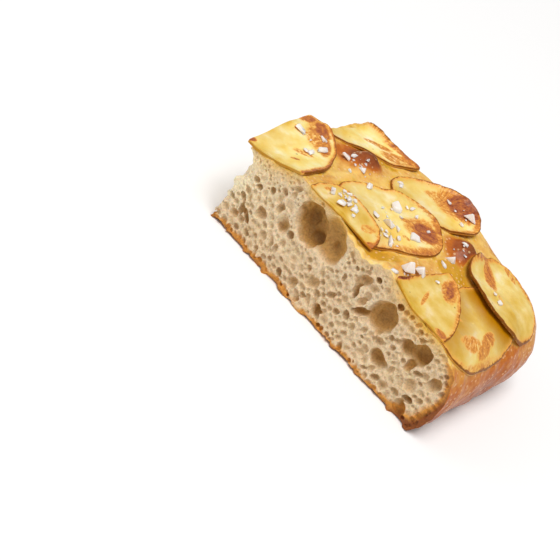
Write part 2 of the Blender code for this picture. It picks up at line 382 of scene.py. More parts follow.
@dataclass
class Foam:
    """Fills a cut face with small bubbles, from large to small, each in what room is left."""

    face: Face
    seed: int
    skin: float = 1.0
    pitch: float = 0.25
    top: float = 50.0
    # Largest radius, smallest radius and number of tries of each round
    tiers: tuple[tuple[float, float, int], ...] = (
        (2.6, 1.7, 120), (1.7, 1.2, 3000), (1.2, 0.85, 9000), (0.85, 0.62, 16000), (0.62, 0.44, 16000))
    # Least and greatest thickness of the walls between bubbles
    walls: tuple[float, float] = (0.1, 0.5)
    crowd: Noise = field(default_factory=lambda: Noise(61, 10.0))

    def bubbles(self, taken: list[Bubble], dough: BreadField) -> list[Bubble]:
        """Pack the face.

        Args:
            taken: The bubbles that are there already.
            dough: The field that says where the torn face runs.

        Returns:
            The new bubbles.
        """
        rng = np.random.default_rng(self.seed)
        along = np.arange(0.0, self.face.extent(), self.pitch)
        height = np.arange(0.0, self.top + 2.0, self.pitch)
        grid_a, grid_h = np.meshgrid(along, height, indexing="ij")
        room = self.face.solid_margin(grid_a, grid_h) - self.skin
        most = self.most(grid_a, grid_h)
        for bubble in taken:
            room = np.minimum(room, bubble.distance(*self.face.points(grid_a, grid_h)))
        made = []
        for largest, smallest, tries in self.tiers:
            places = rng.uniform((0.5, 0.5), (self.face.extent() - 0.5, self.top), (tries, 2))
            chances = rng.uniform(0.0, 1.0, (tries, 5))
            for (a, h), chance in zip(places, chances):
                i, j = int(a / self.pitch), int(h / self.pitch)
                wall = self.walls[0] + (self.walls[1] - self.walls[0]) * chance[4]
                radius = min(largest, room[i, j] - wall, most[i, j])
                if radius < smallest:
                    continue
                stretch = 1.0 + 0.9 * chance[0] ** 2
                tilt = self.face.lean(a) + 90.0 * (chance[1] - 0.5)
                share = 0.95 * chance[2] - 0.45 + 0.15 * (radius > 1.5)
                across = radius / math.sqrt(1.0 - share * share)
                radii = (across * stretch, across, across * (0.9 + 0.5 * chance[3]))
                sunk = share * radii[2]
                self.occupy(room, self.face.bubble(a, h, radii, tilt, sunk), a, h, radius * stretch)
                sunk = sunk + dough.set_back(self.face, a, h)
                made.append(self.face.bubble(a, h, radii, tilt, sunk))
        return made

    def most(self, along: Array, height: Array) -> Array:
        """Find the largest radius that a new bubble may have.

        Args:
            along: Distances along the face.
            height: Heights above the base.

        Returns:
            A radius for each point.
        """
        most = 1.7 + 1.0 * self.crowd.at(along, height, 7.0 * self.seed)
        if self.face is Face.FRONT:
            for x, z, wide, high in DENSE:
                inside = smooth((1.25 - np.hypot((along - x) / wide, (height - z) / high)) / 0.4)
                most = np.minimum(most, 3.0 - 2.46 * inside)
        near_crust = self.face.solid_margin(along, height)
        return np.minimum(most, 0.35 + 0.3 * near_crust)

    def occupy(self, room: Array, bubble: Bubble, a: float, h: float, radius: float) -> None:
        """Take a new bubble's place out of the room that is left near it.

        Args:
            room: The face's grid of room, which is changed.
            bubble: The new bubble.
            a: Its distance along the face.
            h: Its height.
            radius: Its largest radius in the face.
        """
        reach = int((radius + 3.5) / self.pitch)
        i, j = int(a / self.pitch), int(h / self.pitch)
        rows = slice(max(0, i - reach), min(room.shape[0], i + reach + 1))
        columns = slice(max(0, j - reach), min(room.shape[1], j + reach + 1))
        along = (np.arange(rows.start, rows.stop) * self.pitch)[:, None]
        height = (np.arange(columns.start, columns.stop) * self.pitch)[None, :]
        distance = bubble.distance(*self.face.points(along, height))
        room[rows, columns] = np.minimum(room[rows, columns], distance)


@dataclass
class Crumb:
    """All the bubbles that the two cuts have opened."""

    seed: int = 11
    # Radius above which a bubble has small ones in its wall
    host_radius: float = 4.0
    # Tries to place them in a bubble whose radius is 10 mm, and their largest radius
    inner_tries: int = 45
    inner_radius: float = 2.4

    def face_bubbles(self, face: Face, table: Rows, dough: BreadField) -> list[Bubble]:
        """The named bubbles of one face, set back with the torn cut."""
        return [face.bubble(a, h, (wide, high, deep), tilt, dough.set_back(face, a, h))
                for a, h, wide, high, deep, tilt in table]

    def pores_inside(self, host: Bubble, rng: np.random.Generator) -> list[Bubble]:
        """Make small bubbles that open into the wall of a larger one.

        Args:
            host: The larger bubble.
            rng: Where the chances come from.

        Returns:
            The small bubbles.
        """
        made: list[Bubble] = []
        axes = np.array(host.axes)
        radii = np.array(host.radii)
        for _ in range(int(self.inner_tries * (radii.max() / 10.0) ** 2)):
            towards = rng.normal(size=3)
            towards /= np.linalg.norm(towards)
            radius = rng.uniform(0.55, 1.0) ** 2 * self.inner_radius
            centre = np.array(host.centre) + (towards * (radii - 0.55 * radius)) @ axes
            # None stands in front of the cut or breaks into the baked skin
            if np.dot(centre, host.axes[2]) < 1.2 or -LOAF.crust_distance(*centre) < radius + 1.5:
                continue
            gaps = [np.linalg.norm(centre - np.array(b.centre)) - b.radii[0] - radius for b in made]
            if gaps and min(gaps) < 0.3:
                continue
            made.append(Bubble(tuple(centre), (radius,) * 3, blend=0.8))
        return made

    def bubbles(self, dough: BreadField) -> list[Bubble]:
        """Make every bubble, the large ones first.

        Args:
            dough: The field that says where the cuts run.

        Returns:
            The bubbles in the order in which they are carved.
        """
        rng = np.random.default_rng(self.seed)
        edge = [Bubble((x, y, z), (r, r, 1.3 * r)) for x, y, z, r in EDGE_BUBBLES]
        front = self.face_bubbles(Face.FRONT, FRONT_BUBBLES, dough)
        left = self.face_bubbles(Face.LEFT, LEFT_BUBBLES, dough)
        deep = [Bubble((x, y, z), (r, 1.2 * r, 0.9 * r), blend=2.6) for x, y, z, r in DEEP_HOLES]
        large = [bubble for bubble in front + left if max(bubble.radii) > self.host_radius]
        inner = [pore for host in large for pore in self.pores_inside(host, rng)]
        foam = Foam(Face.FRONT, self.seed + 1).bubbles(front + edge, dough)
        foam += Foam(Face.LEFT, self.seed + 2).bubbles(left + edge, dough)
        return front + left + edge + deep + inner + foam


@dataclass
class BreadField:
    """Distances to the surface of the bread on a fine grid, negative inside."""

    pitch: float = 0.42
    low: Triple = (-7.0, -2.5, -2.0)
    high: Triple = (139.5, 102.5, 53.0)
    # x, y, radius and rise of blisters in the crust
    blisters: Rows = (
        (25.0, 52.5, 6.5, 2.2), (86.5, 60.0, 6.5, 2.4), (80.0, 16.0, 4.0, 0.8), (30.0, 32.0, 5.0, 0.6),
        (61.0, 2.0, 2.8, 1.2), (66.5, 2.2, 3.2, 1.7), (72.0, 1.6, 2.6, 1.2), (77.0, 2.8, 3.4, 2.0),
        (83.0, 2.0, 2.6, 1.5))
    uneven: Noise = field(default_factory=lambda: Noise(21, 9.0))
    rough: Noise = field(default_factory=lambda: Noise(22, 2.6))
    lumpy: Noise = field(default_factory=lambda: Noise(23, 5.0))
    # Wide and close bends along x, y and z that make each bubble uneven
    bends: tuple[Noise, ...] = field(default_factory=lambda: tuple(Noise(i, 4.2) for i in (24, 25, 26)))
    twists: tuple[Noise, ...] = field(default_factory=lambda: tuple(Noise(i, 1.6) for i in (27, 28, 29)))

    def axes(self) -> list[Array]:
        """The grid's places along x, y and z."""
        return [np.arange(a, b, self.pitch, dtype=np.float32) for a, b in zip(self.low, self.high)]

    def cut_distances(self, x: Array, y: Array, z: Array) -> tuple[Array, Array]:
        """Measure the distances to the two torn cuts, which are most ragged low down.

        Args:
            x: Places along the front.
            y: Places towards the back.
            z: Heights.

        Returns:
            The distance to the front cut and to the left one, negative in the bread.
        """
        ragged = 0.3 + 1.7 * np.exp(-z / 2.0)
        waves = 0.6 * self.uneven.at(x, z + 40.0) + ragged * self.rough.at(x, z)
        front = waves + 0.25 - y
        waves = 0.6 * self.uneven.at(y + 70.0, z) + ragged * self.rough.at(y, z + 30.0)
        torn = 1.5 * self.lumpy.at(3.0 * y, z) + 1.6 * self.rough.at(2.5 * y, 1.3 * z, 9.0)
        left = waves + torn * np.exp(-y / 6.0) + 0.25 + LOAF.left_shift(y, z) - x
        return front, left

    def set_back(self, face: Face, along: float, height: float) -> float:
        """Find how far the torn face lies behind the even cut.

        Args:
            face: The face.
            along: Distance along it.
            height: Height above the base.

        Returns:
            The distance.
        """
        a, h, zero = np.array(along), np.array(height), np.array(0.0)
        if face is Face.FRONT:
            return float(self.cut_distances(a, zero, h)[0])
        return float(self.cut_distances(zero, a, h)[1] - LOAF.left_shift(a, h))

    def bent(self, x: Array, y: Array, z: Array, size: float) -> list[Array]:
        """Push points about, so that a bubble measured at them comes out uneven.

        Args:
            x: Places along the front.
            y: Places towards the back.
            z: Heights.
            size: Radius of the bubble, which is pushed less when it is small.

        Returns:
            The pushed places, as x, y and z.
        """
        bend, twist = min(0.9, 0.22 * size), min(0.4, 0.2 * size)
        return [axis + bend * wide.at(x, y, z) + twist * close.at(x, y, z)
                for axis, wide, close in zip((x, y, z), self.bends, self.twists)]

    def lumps(self, x: Array, y: Array, z: Array) -> Array:
        """Find how far the baked skin dents in.

        Args:
            x: Places along the front.
            y: Places towards the back.
            z: Heights.

        Returns:
            The depths in millimetres, which are less than nothing on blisters.
        """
        waves = 0.5 * self.uneven.at(x, y, z) + 0.5 * self.lumpy.at(x, y, z) + 0.22 * self.rough.at(x, y, z)
        for blister_x, blister_y, radius, rise in self.blisters:
            off = np.hypot(x - blister_x, y - blister_y) / radius
            waves = waves - rise * smooth(1.3 - off) * (z > 30.0)
        return waves * smooth(z / 6.0)

    def filled(self, bubbles: list[Bubble]) -> Array:
        """Fill the grid, with the cuts and the bubbles taken out of the loaf.

        Args:
            bubbles: The bubbles to carve.

        Returns:
            One distance for each place of the grid.
        """
        xs, ys, zs = self.axes()
        x, y, z = xs[:, None, None], ys[None, :, None], zs[None, None, :]
        distances = self.skin_grid(xs, ys, zs)
        front, _ = self.cut_distances(x, np.float32(0.0), z)
        _, left = self.cut_distances(np.float32(0.0), y, z)
        distances = np.maximum(distances, front - y)
        distances = np.maximum(distances, left - x)
        for bubble in bubbles:
            self.carve(distances, bubble, xs, ys, zs)
        return distances.astype(np.float32)

    def skin_grid(self, xs: Array, ys: Array, zs: Array) -> Array:
        """Measure the baked skin's distances, with lumps only where they matter.

        Args:
            xs: The grid's places along x.
            ys: The grid's places along y.
            zs: The grid's places along z.

        Returns:
            One distance for each place of the grid.
        """
        x, y = np.meshgrid(xs, ys, indexing="ij")
        layers = np.empty((len(xs), len(ys), len(zs)), np.float32)
        for k, height in enumerate(zs):
            layers[:, :, k] = LOAF.crust_distance(x, y, height)
        i, j, k = np.nonzero(np.abs(layers) < 2.5)
        layers[i, j, k] += self.lumps(xs[i], ys[j], zs[k])
        # Near the cuts the base crust curls up unevenly
        waves = 1.1 * smooth(0.4 + self.lumpy.at(x, y, 12.0)) + 0.9 * smooth(0.4 + self.rough.at(x, y, 5.0))
        curled = waves * np.exp(-np.maximum(np.minimum(x, y), 0.0) / 3.0)
        return np.maximum(layers, curled[:, :, None] - zs[None, None, :]).astype(np.float32)

    def carve(self, distances: Array, bubble: Bubble, xs: Array, ys: Array, zs: Array) -> None:
        """Take one bubble out of the grid.

        Args:
            distances: The grid's distances, which are changed.
            bubble: The bubble.
            xs: The grid's places along x.
            ys: The grid's places along y.
            zs: The grid's places along z.
        """
        # Far enough for the bubble's bends and its blend
        reach = max(bubble.radii) * 1.08 + 2.2
        spans = []
        for places, middle in zip((xs, ys, zs), bubble.centre):
            first, last = np.searchsorted(places, (middle - reach, middle + reach))
            spans.append(slice(first, last))
        x, y, z = xs[spans[0]][:, None, None], ys[spans[1]][None, :, None], zs[spans[2]][None, None, :]
        if min(x.size, y.size, z.size) == 0:
            return
        wall = bubble.distance(*self.bent(x, y, z, max(bubble.radii)))
        block = distances[spans[0], spans[1], spans[2]]
        distances[spans[0], spans[1], spans[2]] = smooth_max(block, -wall, bubble.blend)

    def surface(self, bubbles: list[Bubble]) -> tuple[Array, Array]:
        """Find the surface of the whole bread.

        Args:
            bubbles: The bubbles to carve.

        Returns:
            Points in millimetres, and faces of four points.
        """
        grid = openvdb.FloatGrid(background=5.0)
        grid.copyFromArray(np.clip(self.filled(bubbles), -5.0, 5.0))
        points, quads = grid.convertToQuads(0.0)
        return points * self.pitch + np.array(self.low), quads.astype(np.int64)


def vertex_normals(points: Array, quads: Array) -> Array:
    """Find the normals of a closed mesh.

    Args:
        points: Its points.
        quads: Its faces, of four points each.

    Returns:
        A unit normal for each point.
    """
    crosses = np.cross(points[quads[:, 2]] - points[quads[:, 0]], points[quads[:, 3]] - points[quads[:, 1]])
    corners = quads.ravel()
    total = [np.bincount(corners, np.repeat(crosses[:, i], 4), len(points)) for i in range(3)]
    normals = np.stack(total, axis=1)
    return normals / np.maximum(np.linalg.norm(normals, axis=1, keepdims=True), 1e-12)


@dataclass
class Form:
    """A mesh before it is an object: points in millimetres, faces and what each point carries."""

    points: Array
    faces: Array | list[tuple[int, ...]]
    carried: dict[str, Array] = field(default_factory=dict)
    normals: Array | None = None

    def part(self, chosen: Array) -> Form:
        """Take some of the faces, with only the points that they need.

        Args:
            chosen: Which faces are taken.

        Returns:
            Their own form.
        """
        used, faces = np.unique(self.faces[chosen], return_inverse=True)
        carried = {name: values[used] for name, values in self.carried.items()}
        normals = None if self.normals is None else self.normals[used]
        return Form(self.points[used], faces.reshape(-1, self.faces.shape[1]), carried, normals)

    def made(self, name: str, finish: bpy.types.Material) -> bpy.types.Object:
        """Turn the form into an object in the shared frame.

        Args:
            name: The piece's name.
            finish: Its material.

        Returns:
            The new object.
        """
        mesh = bpy.data.meshes.new(name)
        faces = self.faces.tolist() if isinstance(self.faces, np.ndarray) else self.faces
        mesh.from_pydata(((self.points - ORIGIN) * MM).tolist(), [], faces)
        mesh.materials.append(finish)
        mesh.polygons.foreach_set("use_smooth", np.ones(len(mesh.polygons), bool))
        for label, values in self.carried.items():
            layer = mesh.attributes.new(label, "FLOAT", "POINT")
            layer.data.foreach_set("value", values.astype(np.float32))
        if self.normals is not None:
            mesh.normals_split_custom_set_from_vertices(self.normals.tolist())
        mesh.update()
        piece = bpy.data.objects.new(name, mesh)
        bpy.context.scene.collection.objects.link(piece)
        return piece


def settle(piece: bpy.types.Object, node: str | None = None) -> None:
    """Join a piece to the frame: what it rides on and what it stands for.

    Args:
        piece: The new piece.
        node: The CAD node that the piece stands for, if any.
    """
    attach(piece, BODY)
    if node:
        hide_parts(node)
    log.info("%s: %d faces", piece.name, len(piece.data.polygons))


@dataclass(frozen=True)
class Spot:
    """A place seen from above, browned, or oily with painted shade: an oval that fades out, with its turn
    in degrees.
    """

    x: float
    y: float
    long: float
    short: float
    turn: float
    strength: float

    def at(self, x: Array, y: Array) -> Array:
        """Find how brown the spot makes some points.

        Args:
            x: Places along the front.
            y: Places towards the back.

        Returns:
            The brownness of each.
        """
        c, s = math.cos(math.radians(self.turn)), math.sin(math.radians(self.turn))
        along = (c * (x - self.x) + s * (y - self.y)) / self.long
        across = (c * (y - self.y) - s * (x - self.x)) / self.short
        return self.strength * smooth((1.3 - np.hypot(along, across)) / 0.6)


@dataclass
class Baking:
    """How far the oven has browned the bread, where the oil has made it yellow, and where amber shade is
    painted beside the potato.
    """

    blisters: tuple[Spot, ...] = (
        Spot(21, 49.5, 12.5, 9.5, 30, 0.26), Spot(24, 52, 8.8, 7.2, 30, 0.28),
        Spot(26.5, 54, 4.4, 3.6, 30, 0.1), Spot(85, 59, 11.0, 9.5, 60, 0.24),
        Spot(86.4, 60.6, 7.6, 6.8, 60, 0.26), Spot(88, 62, 4.0, 3.6, 60, 0.1), Spot(66, 90, 9, 6, 0, 0.15),
        Spot(92, 90, 7, 5, 40, 0.2), Spot(84, 14, 8, 5, 60, 0.08), Spot(81, 3, 4, 2.5, 60, 0.16),
    )
    # Oily places, painted with amber shade beside the slices' edges
    oil_and_shade_pools: tuple[Spot, ...] = (
        Spot(67, 8.5, 16, 4, 18, 0.75), Spot(22, 61, 16, 4.5, 40, 0.75), Spot(94, 47, 12, 7, 50, 0.85),
        Spot(72, 14, 12, 5, 60, 0.5), Spot(36, 27, 7, 4, 60, 0.4), Spot(80, 66, 8, 4, 40, 0.5),
    )
    # Brownness of the bare top, and of the top under a potato slice
    top_level: float = 0.24
    covered_level: float = 0.02
    # Brownness added near the sides, near the base and low on the sides
    side_level: float = 0.24
    base_level: float = 0.24
    low_side_level: float = 0.28
    patches: Noise = field(default_factory=lambda: Noise(31, 14.0))
    speckle: Noise = field(default_factory=lambda: Noise(32, 3.5))

    def level(self, x: Array, y: Array, z: Array, covered: Array) -> Array:
        """Find the brownness of the crust, which stays pale where potato covers it.

        Args:
            x: Places along the front.
            y: Places towards the back.
            z: Heights.
            covered: How well potato covers each place.

        Returns:
            Values from 0 to 1.
        """
        inward = LOAF.inward(x, y)
        side = smooth((18.0 - inward) / 18.0)
        low = smooth((6.0 - z) / 6.0)
        brown = self.top_level + self.side_level * side + self.base_level * low
        brown = brown + self.low_side_level * side * smooth((30.0 - z) / 24.0)
        # The cut has left the top's front edge paler
        brown = brown - 0.8 * self.top_level * np.exp(-np.maximum(y, 0.0) / 3.0) * (z > 38.0)
        for spot in self.blisters:
            brown = brown + spot.at(x, y) * (z > 30.0)
        waves = 0.1 * self.patches.at(x, y, z) + 0.06 * self.speckle.at(x, y, z)
        on_top = smooth((z - 34.0) / 5.0)
        brown = brown + (self.covered_level - brown) * covered * on_top
        waves = waves * (1.0 - 0.7 * covered) * (1.0 + 1.2 * low)
        return np.clip(brown + waves, 0.0, 1.0)

    def yellow(self, x: Array, y: Array, z: Array, covered: Array) -> Array:
        """Find the yellowness from oil and potato, strongest just under the potato, which also paints amber
        shade beside it.

        Args:
            x: Places along the front.
            y: Places towards the back.
            z: Heights.
            covered: How well potato covers each place.

        Returns:
            Values from 0 to 1.
        """
        below = LOAF.top_height(x, y) - z
        oiled = 0.3 + 0.7 * covered
        for pool in self.oil_and_shade_pools:
            oiled = np.maximum(oiled, 0.3 + pool.at(x, y))
        near_top = oiled * np.exp(-(np.maximum(below, 0.0) / (2.6 + 2.6 * covered)) ** 1.4)
        inward = smooth(LOAF.inward(x, y) / 10.0)
        waves = 1.0 + 0.3 * self.patches.at(x + 50.0, y, z) + 0.35 * self.speckle.at(x + 50.0, y, z)
        return np.clip(near_top * inward * waves, 0.0, 1.0)


class Region(Enum):
    """The parts of the bread's surface, in the order that they are tested."""

    CRUMB_FRONT = "bread_crumb_front"
    CRUMB_LEFT = "bread_crumb_left"
    BASE = "bread_base"
    CRUST_SIDE = "bread_crust_side"
    CRUST_TOP = "bread_crust_top"


@dataclass
class Bread:
    """The loaf's corner piece: one closed surface, made as five pieces that meet without a gap."""

    dough: BreadField
    topping: Topping
    crumb: Crumb = field(default_factory=Crumb)
    baking: Baking = field(default_factory=Baking)
    # Widths over which a slice stops sheltering the crust, and over which its oil and the painted shade
    # beside it spread
    covered_fade: float = 2.4
    beside_fade: float = 9.0
    # Where the crumb, the side crust and the base begin
    crust_line: float = 0.2
    side_height: float = 17.0
    side_width: float = 4.5
    base_height: float = 0.25
    # Share of the flat base's faces that stays
    base_share: float = 0.12

    def surface(self) -> Form:
        """Make the whole surface.

        Returns:
            Its form, with what its points carry to the materials.
        """
        points, quads = self.dough.surface(self.crumb.bubbles(self.dough))
        x, y, z = points.T
        covered = self.topping.covers(x, y, self.covered_fade)
        beside = self.topping.covers(x, y, self.beside_fade)
        front, left = self.dough.cut_distances(x, y, z)
        depth = -(LOAF.crust_distance(x, y, z) + self.dough.lumps(x, y, z))
        corner = smooth((x - 114.0) / 18.0) * (0.35 + 0.65 * smooth((26.0 - z) / 20.0))
        low = smooth((7.0 - z) / 5.0)
        speckle = self.baking.speckle.at(x, 0.0, 0.5 * z)
        soaked = np.maximum(1.1 + 2.6 * low + (0.4 + 1.8 * low) * speckle + 5.0 * corner, 0.5)
        # Painted light: the crumb is paler near the left cut, above the base, and loses some of its yellow
        # there
        pale = np.exp(-np.maximum(x + 2.0, 0.0) / 14.0) * smooth((z - 6.0) / 16.0)
        browning = self.baking.level(x, y, z, covered) * np.exp(-(np.maximum(depth, 0.0) / soaked) ** 2)
        carried = {
            # Depth behind the cut faces, which sets the painted shade in the opened bubbles
            "hollow_shade": np.maximum(np.minimum(-front, -left), 0.0),
            "depth": np.maximum(depth, 0.0),
            "browning": browning,
            "yellow": self.baking.yellow(x, y, z, beside) * (1.0 - 0.6 * pale * (depth > 0.6)),
            "pale": pale,
        }
        return Form(points, quads, carried, vertex_normals(points, quads))

    def regions(self, whole: Form) -> dict[Region, Array]:
        """Divide the faces.

        Args:
            whole: The form of the whole surface.

        Returns:
            Which faces belong to each region.
        """
        x, y, z = whole.points[whole.faces].mean(axis=1).T
        depth = whole.carried["depth"][whole.faces].mean(axis=1)
        front, left = self.dough.cut_distances(x, y, z)
        crumb = depth > self.crust_line
        base = ~crumb & (z < self.base_height)
        side = ~crumb & ~base & ((z < self.side_height) | (LOAF.inward(x, y) < self.side_width))
        return {
            Region.CRUMB_FRONT: crumb & (front >= left),
            Region.CRUMB_LEFT: crumb & (front < left),
            Region.BASE: base,
            Region.CRUST_SIDE: side,
            Region.CRUST_TOP: ~crumb & ~base & ~side,
        }

    def build(self) -> None:
        """Make the bread's pieces and dress them."""
        whole = self.surface()
        crumb, crust = CrumbFinish().material(), CrustFinish().material()
        finishes = {Region.CRUMB_FRONT: crumb, Region.CRUMB_LEFT: crumb}
        for region, chosen in self.regions(whole).items():
            piece = whole.part(chosen).made(region.value, finishes.get(region, crust))
            if region is Region.BASE:
                thin_out(piece, self.base_share)
            settle(piece, "bread")


def thin_out(piece: bpy.types.Object, share: float) -> None:
    """Leave out most faces of a flat piece, which needs few.

    Args:
        piece: The piece.
        share: Share of its faces that stays.
    """
    decimate = piece.modifiers.new("thin out", "DECIMATE")
    decimate.ratio = share
    thinned = bpy.data.meshes.new_from_object(piece.evaluated_get(bpy.context.evaluated_depsgraph_get()))
    piece.modifiers.remove(decimate)
    old = piece.data
    thinned.name = old.name
    piece.data = thinned
    bpy.data.meshes.remove(old)


class Ground:
    """Heights, on a grid, of the top of all that is laid so far."""

    CELL = 0.5
    MARGIN = 12.0
    # Cells that a slice clears round each bump, and the rounds of smoothing that make it lie softly
    REACH = 2
    PASSES = 34
    # A slice sinks this far, in millimetres, into what lies below
    SINK = 0.55

    def __init__(self, dough: BreadField) -> None:
        """Start with the bare crust.

        Args:
            dough: The field that says how the crust is dented.
        """
        self.xs = np.arange(-self.MARGIN, LOAF.length + self.MARGIN, self.CELL)
        self.ys = np.arange(-self.MARGIN, LOAF.depth + self.MARGIN, self.CELL)
        self.x, self.y = np.meshgrid(self.xs, self.ys, indexing="ij")
        top = LOAF.top_height(self.x, np.maximum(self.y, 0.0))
        self.height = top - dough.lumps(self.x, self.y, top)

    def neighbours(self, sheet: Array) -> Array:
        """Shift a sheet of heights by one cell each way.

        Args:
            sheet: The heights.

        Returns:
            The sheet and its eight shifted copies.
        """
        padded = np.pad(sheet, 1, mode="edge")
        rows, columns = sheet.shape
        return np.stack([padded[i:i + rows, j:j + columns] for i in range(3) for j in range(3)])

    def draped(self) -> Array:
        """Find the underside of a soft slice laid here, which bridges dips and clears every bump.

        Returns:
            Its heights on the grid.
        """
        sheet = self.height
        for _ in range(self.REACH):
            sheet = self.neighbours(sheet).max(axis=0)
        for _ in range(self.PASSES):
            sheet = self.neighbours(sheet).mean(axis=0)
        return np.maximum(sheet, self.height) - self.SINK

    def read(self, sheet: Array, x: Array, y: Array) -> Array:
        """Read a sheet of heights between the grid's points.

        Args:
            sheet: The heights on the grid.
            x: Places along the front.
            y: Places towards the back.

        Returns:
            The heights there.
        """
        column = np.clip((x - self.xs[0]) / self.CELL, 0, len(self.xs) - 1.001)
        row = np.clip((y - self.ys[0]) / self.CELL, 0, len(self.ys) - 1.001)
        i, j = column.astype(int), row.astype(int)
        s, t = column - i, row - j
        near = sheet[i, j] * (1 - s) + sheet[i + 1, j] * s
        far = sheet[i, j + 1] * (1 - s) + sheet[i + 1, j + 1] * s
        return near * (1 - t) + far * t

    def raise_to(self, inside: Array, top: Array) -> None:
        """Raise the ground to a new top where something covers it."""
        self.height = np.where(inside, np.maximum(self.height, top), self.height)


# Lines that end a slice: x and y of a point, and the normal that points to the side that is kept
FRONT_CUT = (0.0, 0.0, 0.0, 1.0)
LEFT_CUT_FRONT = (-5.0, 0.0, 1.0, 0.08)
LEFT_CUT_BACK = (0.5, 50.0, 1.0, -0.14)
MIDDLE_SLICE_END = (60.0, 4.6, -0.36, 0.93)


def closer_to_rim(share: float) -> float:
    """A share of the radius, with rings set closer together towards the rim."""
    return math.sin(share * math.pi / 2) * 0.6 + share * 0.4


@dataclass(frozen=True)
class RimToast:
    """A browned band along the rim, widest in one direction. Its angles are in degrees."""

    towards: float
    spread: float
    width: float
    strength: float

    def at(self, angle: Array, from_rim: Array) -> Array:
        """Find how brown the band makes some points.

        Args:
            angle: Their directions from the slice's centre.
            from_rim: Their distances in from the rim.

        Returns:
            The brownness of each.
        """
        off = np.abs(wrapped(angle - math.radians(self.towards)))
        share = smooth(1.0 - off / math.radians(self.spread))
        return self.strength * share * smooth(1.2 - from_rim / self.width)


